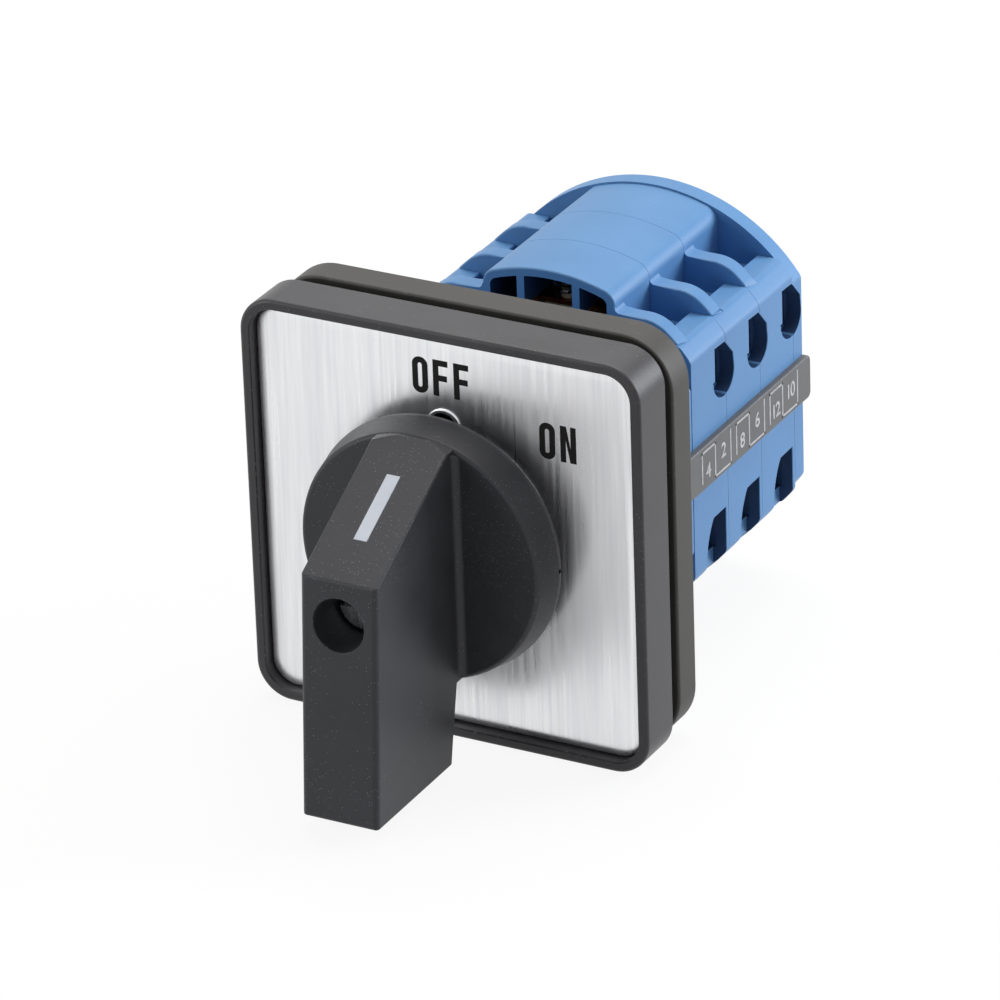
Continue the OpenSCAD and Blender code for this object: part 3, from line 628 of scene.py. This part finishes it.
lettering = {"height": 5.6, "width": 2.5, "stroke": 0.92, "gap": 0.81, "proud": 0.02, "radius": 1.2,
             "words": {"OFF": (-0.28, 24.1), "ON": (18.1, 17.65)}}


def makeLetter(letter, left, low, size):
    w, h, s = size["width"], size["height"], size["stroke"]
    start = legendPlate["front"] - size["proud"]
    end = legendPlate["front"] + 0.02
    if letter == "O":
        piece = drawPrism("letter", roundedBox((left, low), (left + w, low + h), size["radius"], 8), start, end)
        inner = roundedBox((left + s, low + s), (left + w - s, low + h - s), (w - 2 * s) / 2 * 0.98, 8)
        return combine(piece, drawPrism("inside", inner, start - 1, end + 1))
    if letter == "F":
        outline = [(0, 0), (s, 0), (s, h * 0.42), (w * 0.9, h * 0.42), (w * 0.9, h * 0.42 + s),
                   (s, h * 0.42 + s), (s, h - s), (w * 0.96, h - s), (w * 0.96, h), (0, h)]
    else:
        outline = [(0, 0), (s * 0.95, 0), (s * 0.95, h * 0.62), (w - s * 1.05, 0), (w, 0), (w, h),
                   (w - s * 0.95, h), (w - s * 0.95, h * 0.38), (s * 1.05, h), (0, h)]
    return drawPrism("letter", [(left + u, low + v) for u, v in outline], start, end)


def makeLegend(size):
    for word, (x, z) in size["words"].items():
        whole = len(word) * size["width"] + (len(word) - 1) * size["gap"]
        letters = []
        for i, letter in enumerate(word):
            left = x - whole / 2 + i * (size["width"] + size["gap"])
            letters.append(makeLetter(letter, left, z - size["height"] / 2, size))
        finish(joinPieces(letters, "legend_" + word.lower()), "frame", "legendInk")


makeLegend(lettering)
print("front plate ready")

mountingPlate = {"width": 64, "cornerRadius": 8, "front": 2.1, "back": 7.5, "holeRadius": 7.05, "screwPitch": 48,
                 "boltX": 17.2, "boltRadius": 2.1, "nutFlats": 7.2, "rounding": 0.45}


def makeMountingPlate(size):
    front = size["front"]
    back = size["back"]
    piece = drawPrism("mounting_plate_body", roundedSquare(size["width"], size["cornerRadius"]), front, back)
    roundEdges(piece, [(size["rounding"], lambda at, edge: True)], segments=4, sharper=60)
    half = size["screwPitch"] / 2
    nutRadius = size["nutFlats"] / math.sqrt(3)
    tools = [addRod("hole", size["holeRadius"], front - 1, back + 1)]
    for place in ((-half, -half), (half, -half), (half, half), (-half, half)):
        tools.append(addRod("screwHole", size["boltRadius"], front - 1, back + 1, place, sides=48))
        tools.append(addRod("nutPocket", nutRadius, back - 3.1, back + 1, place, sides=6))
    for x in (-size["boltX"], size["boltX"]):
        tools.append(addRod("boltHole", size["boltRadius"], front - 1, back + 1, (x, 0), sides=48))
        tools.append(addRod("boltNutPocket", nutRadius, front - 1, front + 3.2, (x, 0), sides=6))
    combine(piece, *tools)
    roundEdges(piece, [(0.15, lambda at, edge: at.y > back - 0.01 and outermost(at) < 30)], segments=2)
    return finish(piece, "frame", "mountPlastic", ["mounting_plate"])


makeMountingPlate(mountingPlate)
print("mounting plate ready")

handle = {"skirtRadius": 19.9, "skirtFrontRadius": 19, "skirtBand": 0.8, "skirtBack": -9.7, "skirtFront": -15.2,
          "gripWidth": 12.2, "gripTop": (-38.2, 6.5), "gripLow": (-40.8, -30.2), "hubRadius": 8.8, "hubEnd": -1.7,
          "holeRadius": 4, "seatY": -29.5, "shaftWidth": 7.2, "uprightRound": 0.9, "bottomRound": 0.7,
          "browRound": 0.35, "sideRound": 0.42, "rimRound": 0.6, "holeRound": 0.25, "fillet": 1.2,
          "markWidth": 2.2, "markFrom": 7.5, "markTo": 19.2}


def makeHandle(size):
    half = size["gripWidth"] / 2
    front = size["skirtFront"]
    back = size["skirtBack"]
    rim = size["skirtFrontRadius"]
    slopeEnd = (front - 0.3, rim - 0.2)
    gripFront, gripLow = size["gripLow"]
    brow, browZ = size["gripTop"]
    outline = [size["gripTop"], slopeEnd, (front + 1, rim - 0.2), (front + 1, 1 - rim), (front - 1.7, 1 - rim),
               (front - 3.4, gripLow), size["gripLow"]]
    grip = drawPrism("handle_body", outline, -half, half, axis="X")
    roundEdges(grip, [
        (size["uprightRound"], lambda at, edge: at.y < brow - 0.3 and abs(at.x) > half - 0.1),
        (size["bottomRound"], lambda at, edge: at.y < gripFront + 0.1),
        (size["browRound"], lambda at, edge: at.y < brow + 0.1),
        (size["sideRound"], lambda at, edge: at.y < front - 1)], segments=5)
    # the upper part of the grip ends inside the skirt's outline
    limit = addRod("limit", rim - 0.02, gripFront - 1, front + 3)
    combine(limit, addBlock("below", (-half - 1, gripFront - 1.5, -45), (half + 1, front + 3.5, 0)), how="UNION")
    combine(grip, limit, how="INTERSECT")
    skirt = addRod("skirt", rim, front, back - size["skirtBand"], tipRadius=size["skirtRadius"], sides=192)
    combine(skirt, addRod("band", size["skirtRadius"], back - size["skirtBand"] - 0.02, back, sides=192), how="UNION")
    roundEdges(skirt, [(size["rimRound"], lambda at, edge: at.y < front + 0.01),
                       (0.2, lambda at, edge: at.y > back - 0.01)], segments=4)
    # quarter-round strips where the grip's sides meet the skirt
    r = size["fillet"]
    for side in (-1, 1):
        curve = [(half + r - r * math.sin(math.radians(a)), front - r + r * math.cos(math.radians(a)))
                 for a in range(0, 91, 10)]
        section = [(half - 1, front + 1), (half + r, front + 1)] + curve + [(half - 1, front - r)]
        strip = drawPrism("filletStrip", [(side * x, y) for x, y in section], -26, 22, axis="Z")
        combine(strip, addRod("stripLimit", rim - size["rimRound"], front - 5, front + 5), how="INTERSECT")
        combine(skirt, strip, how="UNION")
    combine(grip, skirt, addRod("hub", size["hubRadius"], back - 1, size["hubEnd"]), how="UNION")
    hollow = addRod("hollow", rim - 1.8, back - 3.5, back + 1)
    combine(hollow, addRod("core", size["hubRadius"] + 1.6, back - 5, back + 2))
    shaftHole = addBlock("shaftHole", (-size["shaftWidth"] / 2, size["seatY"] + 1.9, -size["shaftWidth"] / 2),
                         (size["shaftWidth"] / 2, size["hubEnd"] + 1, size["shaftWidth"] / 2))
    combine(grip, hollow, shaftHole, addRod("screwHole", size["holeRadius"], gripFront - 2, size["seatY"], sides=96),
            addRod("screwShank", 2.2, size["seatY"] - 1, size["seatY"] + 4, sides=48))
    roundEdges(grip, [(size["holeRound"], lambda at, edge: at.y < brow + 0.3
                       and math.hypot(at.x, at.z) < size["holeRadius"] + 0.05)])
    # the pointer lies in a slot along the slope
    tilt = math.atan2(slopeEnd[1] - browZ, slopeEnd[0] - brow)
    half = size["markWidth"] / 2
    slot = addBlock("slot", (-half, size["markFrom"], -0.5), (half, size["markTo"], 2))
    mark = addBlock("handle_pointer", (0.03 - half, size["markFrom"] + 0.03, -0.45), (half - 0.03, size["markTo"] - 0.03, 0.02))
    for piece in (slot, mark):
        piece.matrix_world = Matrix.Translation((0, brow * mm, browZ * mm)) @ Matrix.Rotation(tilt, 4, "X")
        pickOnly(piece)
        bpy.ops.object.transform_apply(location=True, rotation=True, scale=True)
    combine(grip, slot)
    roundEdges(mark, [(0.06, lambda at, edge: True)], segments=2)
    finish(mark, "rotor", "markPaint", ["handle_mark"])
    return finish(grip, "rotor", "handlePlastic", ["handle"], smooth=28)


makeHandle(handle)
finish(softenNode("handle_screw", 0.12), "rotor", "zincSteel", ["handle_screw"])
print("handle ready")

body = {"halfWidth": 22.9, "radius": 28.7, "finTop": 22.9, "finRound": 6, "finFillet": 0.8, "shoulderZ": 19.7,
        "domeRadius": 27.7, "domeHalfWidth": 10.8, "domeEdge": 2.5, "domeWall": 1.3, "pitch": 11.1, "finDepth": 2.9,
        "first": 25.6, "rearWall": 2, "shelfZ": 15.2, "camRoom": 12, "hubRoom": 7.7, "ribX": 4.5, "ribWidth": 1.2,
        "ribZ": 21.4, "boltX": 17.2, "boltRadius": 2.1, "seam": 0.04, "crease": 0.6}
terminals = {"screwZ": 13.2, "roomIn": 12.6, "roomLow": 8.5, "roomHigh": 17.1, "wall": 1.8, "window": 6.7,
             "upperOff": 1.65, "lowerOff": 3.95, "windowShift": 1, "shankHole": 2, "contactOff": 4.25,
             "armSlot": (8.2, 15.2), "armHeight": (15.4, 16.6), "armWidth": 4.3, "stemSlot": 3.1,
             "funnelIn": 12.9, "funnelOut": 17.2, "funnelFloor": 17.9, "funnelWidth": 4.5}


def allQuarters(upper):
    # the upper right quarter of an outline, mirrored down and to the left
    right = [(x, -z) for x, z in reversed(upper)] + upper
    whole = right + [(-x, z) for x, z in reversed(right)]
    clean = []
    for point in whole:
        if not clean or math.dist(point, clean[-1]) > 0.001:
            clean.append(point)
    if math.dist(clean[0], clean[-1]) < 0.001:
        clean.pop()
    return clean


def domeCrown(inset=0):
    # upper right part of the dome, from its flank to its top
    radius = body["domeRadius"] - inset
    edge = body["domeEdge"] - inset
    edgeX = body["domeHalfWidth"] - body["domeEdge"]
    edgeZ = math.sqrt((radius - edge) ** 2 - edgeX ** 2)
    turn = math.degrees(math.atan2(edgeZ, edgeX))
    return arc(edgeX, edgeZ, edge, 0, turn, 10) + arc(0, 0, radius, turn, 90, 18)[1:]


def softCorner(before, corner, after, steps=5):
    # a smooth bend from one point to the next that follows the corner between them
    before, corner, after = Vector(before), Vector(corner), Vector(after)
    points = []
    for i in range(steps + 1):
        t = i / steps
        points.append(tuple(before * (1 - t) ** 2 + corner * 2 * t * (1 - t) + after * t ** 2))
    return points


def sideArc():
    # from the flat side up to just below the shoulder, with a soft crease where they meet
    radius, width, soft = body["radius"], body["halfWidth"], body["crease"]
    low = math.degrees(math.acos(width / radius))
    turn = math.degrees(soft / radius)
    flat = arc(0, 0, radius, low + turn, math.degrees(math.asin(body["shoulderZ"] / radius)) - turn, 6)
    corner = (width, math.sqrt(radius ** 2 - width ** 2))
    return softCorner((width, corner[1] - soft), corner, flat[0]) + flat[1:]


def finOutline():
    radius, top, turn = body["radius"], body["finTop"], body["finRound"]
    midZ = top - turn
    midX = math.sqrt((radius - turn) ** 2 - midZ ** 2)
    shoulder = math.degrees(math.asin(body["shoulderZ"] / radius) - body["crease"] / radius)
    meet = math.degrees(math.atan2(midZ, midX))
    inner = body["domeHalfWidth"] + body["finFillet"]
    return allQuarters(sideArc() + arc(0, 0, radius, shoulder, meet, 4)[1:] + arc(midX, midZ, turn, meet, 90, 12)[1:]
                       + arc(inner, top + body["finFillet"], body["finFillet"], 270, 180, 6) + domeCrown())


def shoulderOutline():
    out, low = terminals["funnelOut"], terminals["funnelFloor"]
    high = body["shoulderZ"]
    side = sideArc()
    corner = math.sqrt(body["radius"] ** 2 - high ** 2)
    bend = softCorner(side[-1], (corner, high), (corner - body["crease"], high))
    lip = softCorner((out + 0.3, high), (out, high), (out, high - 0.3), 3)
    return allQuarters(side + bend[1:] + lip + [(out, low), (body["domeHalfWidth"], low)] + domeCrown())


def terminalY(k, up):
    off = terminals["upperOff"] if up > 0 else terminals["lowerOff"]
    return body["first"] + k * body["pitch"] - off


def upperWindow(y):
    half = terminals["window"] / 2
    low = terminals["screwZ"] - 2.2
    high = terminals["screwZ"] + 3
    y += terminals["windowShift"]
    return (arc(y, low, half, 180, 360, 20)
            + [(y + half - 0.3, high - 2.8), (y + 0.4, high), (y + 0.6 - half, high), (y + 0.6 - half, low)])


def lowerWindow(y):
    reach = terminals["window"] / 2 - 0.2
    centre = (y + 7, -terminals["screwZ"] - 3.6)
    curve = [point for point in arc(centre[0], centre[1], 10.15, 180, 100, 60) if point[0] < y + reach]
    lid = 3 - terminals["screwZ"]
    curve = [point for point in curve if point[1] < lid]
    return [(y + reach, -32), (y - reach, -32)] + curve + [(y + reach, lid)]


def windowTools(k, ups=(1, -1)):
    # rooms, side windows, screw holes and wire funnels of one stage
    tools = []
    half = terminals["window"] / 2
    wallX = body["halfWidth"] - terminals["wall"]
    z = terminals["screwZ"]
    for side in (-1, 1):
        for up in ups:
            y = terminalY(k, up)
            xs = sorted((side * terminals["roomIn"], side * wallX))
            zs = sorted((up * terminals["roomLow"], up * terminals["roomHigh"]))
            tools.append(addBlock("room", (xs[0], y - half, zs[0]), (xs[1], y + half, zs[1])))
            outline = upperWindow(y) if up > 0 else lowerWindow(y)
            xs = sorted((side * (wallX - 0.5), side * (body["halfWidth"] + 1)))
            tools.append(drawPrism("window", outline, xs[0], xs[1], axis="X"))
            xs = sorted((side * (terminals["roomIn"] - 1.4), side * (terminals["roomIn"] + 0.6)))
            tools.append(addRod("shank", terminals["shankHole"], xs[0], xs[1], (y, up * z), axis="X", sides=48))
            wire = y - (terminals["upperOff"] if up > 0 else 0)
            xs = sorted((side * terminals["funnelIn"], side * terminals["funnelOut"]))
            zs = sorted((up * (z + 0.8), up * (z + 7.8)))
            width = terminals["funnelWidth"] / 2
            tools.append(addBlock("funnel", (xs[0], wire - width, zs[0]), (xs[1], wire + width, zs[1])))
    return tools


def contactTools(k):
    # slots for the contact arms and for the plunger
    middle = body["first"] + k * body["pitch"] - terminals["contactOff"]
    width = terminals["armWidth"] / 2
    stem = terminals["stemSlot"]
    reach = body["shelfZ"] + 0.5
    tools = [addBlock("stemSlot", (-stem, middle - width, -reach), (stem, middle + width, reach))]
    for side in (-1, 1):
        for up in (-1, 1):
            xs = sorted(side * x for x in terminals["armSlot"])
            zs = sorted(up * z for z in terminals["armHeight"])
            tools.append(addBlock("armSlot", (xs[0], middle - width, zs[0]), (xs[1], middle + width, zs[1])))
    return tools


def boltTools(start, end):
    return [addRod("boltHole", body["boltRadius"], start, end, (x, 0), sides=48) for x in (-body["boltX"], body["boltX"])]


def paintInnerShade(piece, seams):
    # the walls of the terminal rooms, contact chambers and side windows get a darker blue finish: painted shade for
    # their deep insides, with a rougher surface
    piece.data.materials.append(finishes["bluePaintedShade"])
    wallX = (body["halfWidth"] - terminals["wall"]) * mm
    for face in piece.data.polygons:
        x, z = abs(face.center.x), abs(face.center.z)
        inRoom = terminals["roomIn"] * mm - 0.0001 < x < wallX + 0.0001
        inRoom = inRoom and terminals["roomLow"] * mm - 0.0001 < z < terminals["roomHigh"] * mm + 0.0001
        inChamber = x < (body["domeHalfWidth"] - 1) * mm and z < (body["domeRadius"] - body["domeWall"]) * mm
        outward = face.normal.z * face.center.z > 0 and z > body["finTop"] * mm
        inChamber = inChamber and not outward and abs(face.normal.y) < 0.5
        inWindow = wallX - 0.0006 < x < (body["halfWidth"] - 0.2) * mm and abs(face.normal.x) < 0.35
        inWindow = inWindow and 0.007 < z < 0.0187
        inWindow = inWindow and min(abs(face.center.y - edgeY * mm) for edgeY in seams) > 0.0002
        if inRoom or inChamber or inWindow:
            face.material_index = 1
    return piece


def makeStage(k):
    start = body["first"] + (k - 1) * body["pitch"]
    end = start + body["pitch"]
    near = start + body["seam"]
    fin = start + body["finDepth"]
    shoulder = body["shoulderZ"]
    flank = body["domeHalfWidth"]
    piece = drawPrism("stage_body_%d" % k, shoulderOutline(), near, end - body["seam"])
    combine(piece, drawPrism("fin", finOutline(), near, fin), how="UNION")
    # outer edges are rounded before the rooms are cut
    roundEdges(piece, [
        (0.3, lambda at, edge: not alongAxis(edge) and (abs(at.y - near) < 0.02 or abs(at.y - fin) < 0.02)
         and abs(at.x) > flank + body["finFillet"] and abs(at.z) > shoulder + 0.02),
        (0.35, lambda at, edge: k == 1 and abs(at.y - near) < 0.02 and abs(at.x) < flank + 0.01
         and abs(at.z) > body["finTop"] + 0.5)], segments=3, sharper=35)
    tools = [addRod("camRoom", body["camRoom"], start - 1, end - body["rearWall"]),
             addRod("hubRoom", body["hubRoom"], end - body["rearWall"] - 1, end + 1)]
    crown = domeCrown(body["domeWall"])
    for up in (-1, 1):
        room = [(0, body["shelfZ"]), (crown[0][0], body["shelfZ"])] + crown
        outline = room + [(-x, z) for x, z in reversed(room[1:-1])]
        chamber = drawPrism("chamber", [(x, up * z) for x, z in outline], start - 1, end - body["rearWall"])
        zs = sorted((up * body["ribZ"], up * (body["ribZ"] + 9)))
        width = body["ribWidth"] / 2
        ribs = [addBlock("rib", (x - width, start - 2, zs[0]), (x + width, end, zs[1])) for x in (-body["ribX"], body["ribX"])]
        combine(chamber, *ribs)
        tools.append(chamber)
    tools += contactTools(k) + windowTools(k)
    if k > 1:
        tools += windowTools(k - 1, (1,))
    tools += boltTools(start - 1, end + 1)
    combine(piece, *tools)
    roundEdges(piece, [(0.14, lambda at, edge: abs(abs(at.x) - body["halfWidth"]) < 0.02 and edge.is_convex
                        and abs(at.y - start) > 0.2 and abs(at.y - end) > 0.2)], segments=2, sharper=40)
    finish(piece, "frame", "bluePlastic", ["stage_housing_%d" % k])
    # the insides of the rooms, chambers and windows get painted shade
    return paintInnerShade(piece, (near, end - body["seam"]))


for k in (1, 2, 3):
    makeStage(k)
    print("stage", k, "ready")

endPlate = {"radius": 28, "start": 58.9, "end": 62.2, "centreHole": 3.35, "centreWall": 1}


def makeEndPlate(size):
    radius = size["radius"]
    low = math.degrees(math.acos(body["halfWidth"] / radius))
    outline = arc(0, 0, radius, low, 180 - low, 90) + arc(0, 0, radius, 180 + low, 360 - low, 90)
    near = size["start"] + body["seam"]
    piece = drawPrism("end_plate_body", outline, near, size["end"])
    roundEdges(piece, [(0.5, lambda at, edge: at.y > size["end"] - 0.01), (0.5, lambda at, edge: alongAxis(edge))], segments=4)
    tools = [addRod("centre", size["centreHole"], size["start"] - 1, size["end"] - size["centreWall"], sides=64)]
    tools += windowTools(3, (1,)) + boltTools(size["start"] - 1, size["end"] + 1)
    combine(piece, *tools)
    finish(piece, "frame", "bluePlastic", ["end_plate"])
    # the insides of the rooms and windows get painted shade
    return paintInnerShade(piece, (near, size["end"]))


makeEndPlate(endPlate)

detentHousing = {"start": 7.5, "end": 25.6, "radius": 26.3, "halfHeight": 21, "wheelRoom": 14.6, "rounding": 0.25,
                 "slotHalf": 2.5, "slotY": (13.5, 20.5), "slotZ": (10.3, 19.6), "pinHole": 1.22, "pinAt": 12,
                 "pinAngles": (-19.14, 64.14), "pinDepth": 0.5}


def makeDetentHousing(size):
    radius = size["radius"]
    start = size["start"]
    end = size["end"]
    low = math.degrees(math.acos(body["halfWidth"] / radius))
    high = math.degrees(math.asin(size["halfHeight"] / radius))
    piece = drawPrism("detent_housing_body", allQuarters(arc(0, 0, radius, low, high, 12)), start, end)
    roundEdges(piece, [(size["rounding"], lambda at, edge: True)], segments=3, sharper=14)
    tools = [addRod("wheelRoom", size["wheelRoom"], start - 1, end - body["rearWall"]),
             addRod("hubRoom", body["hubRoom"], end - 3, end + 1)]
    for up in (-1, 1):
        zs = sorted(up * z for z in size["slotZ"])
        tools.append(addBlock("slot", (-size["slotHalf"], size["slotY"][0], zs[0]), (size["slotHalf"], size["slotY"][1], zs[1])))
    for angle in size["pinAngles"]:
        place = (size["pinAt"] * math.sin(math.radians(angle)), size["pinAt"] * math.cos(math.radians(angle)))
        tools.append(addRod("pinHole", size["pinHole"], end - body["rearWall"] - 0.5, end - size["pinDepth"], place, sides=48))
    tools += boltTools(start - 1, end + 1)
    combine(piece, *tools)
    return finish(piece, "frame", "bluePlastic", ["detent_housing"])


makeDetentHousing(detentHousing)
print("blue body ready")

strip = {"start": 7.6, "end": 62.6, "low": -3.5, "high": 3.4, "thick": 1.0, "corner": 1, "rounding": 0.25,
         "line": 0.32, "proud": 0.025, "digitHeight": 2.4, "lineLow": -2.75, "lineHigh": 2.55,
         "steps": (1.0, 5.2, 10.2), "digits": ((2.95, -1.9), (7.9, -0.75))}


def drawBar(y0, z0, y1, z1, width):
    # outline of a flat bar between two points on the strip
    along = Vector((y1 - y0, z1 - z0)).normalized() * width / 2
    side = Vector((-along.y, along.x))
    corners = [(y0, z0, -1, 1), (y0, z0, -1, -1), (y1, z1, 1, -1), (y1, z1, 1, 1)]
    return [(y + a * along.x + s * side.x, z + a * along.y + s * side.y) for y, z, a, s in corners]


def addDigits(number, side, outer, y, z, size):
    bpy.ops.object.select_all(action="DESELECT")
    bpy.ops.object.text_add()
    text = bpy.context.object
    text.data.body = number
    text.data.size = size["digitHeight"] * 1.35 * mm
    text.data.align_x = "CENTER"
    text.data.extrude = size["proud"] * mm
    text.data.offset = 0.05 * mm
    if len(number) > 1:
        text.data.space_character = 0.85
    bpy.ops.object.convert(target="MESH")
    turn = Matrix(((0, 0, side), (side, 0, 0), (0, 1, 0))).to_4x4()
    bpy.context.object.matrix_world = Matrix.Translation((side * outer * mm, y * mm, z * mm)) @ turn
    return settle("digit")


def makeStrip(side, name, size, numbers):
    face = body["halfWidth"]
    outer = face + size["thick"]
    r = size["corner"]
    outline = ([(size["start"], size["low"])] + arc(size["end"] - r, size["low"] + r, r, 270, 360, 8)
               + arc(size["end"] - r, size["high"] - r, r, 0, 90, 8) + [(size["start"], size["high"])])
    xs = sorted((side * face, side * outer))
    piece = drawPrism("marking_strip_%s_body" % name, outline, xs[0], xs[1], axis="X")
    roundEdges(piece, [(size["rounding"], lambda at, edge: abs(at.x) > outer - 0.01)])
    finish(piece, "frame", "stripPlastic", ["marking_strip_" + name])
    prints = []
    xs = sorted((side * (outer - 0.02), side * (outer + size["proud"])))
    low, high = size["lineLow"], size["lineHigh"]
    for k in (1, 2, 3):
        y = body["first"] + (k - 1) * body["pitch"]
        left, middle, right = [y + step for step in size["steps"]]
        path = [(left, low + 0.6), (left, high), (middle, high), (middle, low), (right, low), (right, high)]
        for (y0, z0), (y1, z1) in zip(path, path[1:]):
            prints.append(drawPrism("line", drawBar(y0, z0, y1, z1, size["line"]), xs[0], xs[1], axis="X"))
        for number, (dy, z) in zip(numbers[k - 1], size["digits"]):
            prints.append(addDigits(number, side, outer, y + dy, z, size))
    finish(joinPieces(prints, "marking_%s_symbols" % name), "frame", "stripPrint")


makeStrip(1, "right", strip, [("4", "2"), ("8", "6"), ("12", "10")])
makeStrip(-1, "left", strip, [("1", "3"), ("5", "7"), ("9", "11")])
print("marking strips ready")

finish(softenNode("tie_bolts", 0.12), "frame", "zincSteel", ["tie_bolts"])
for k in (1, 2, 3):
    node = "terminal_screws_%d" % k
    finish(softenNode(node, 0.12), "frame", "zincSteel", [node])
print("small metal ready")
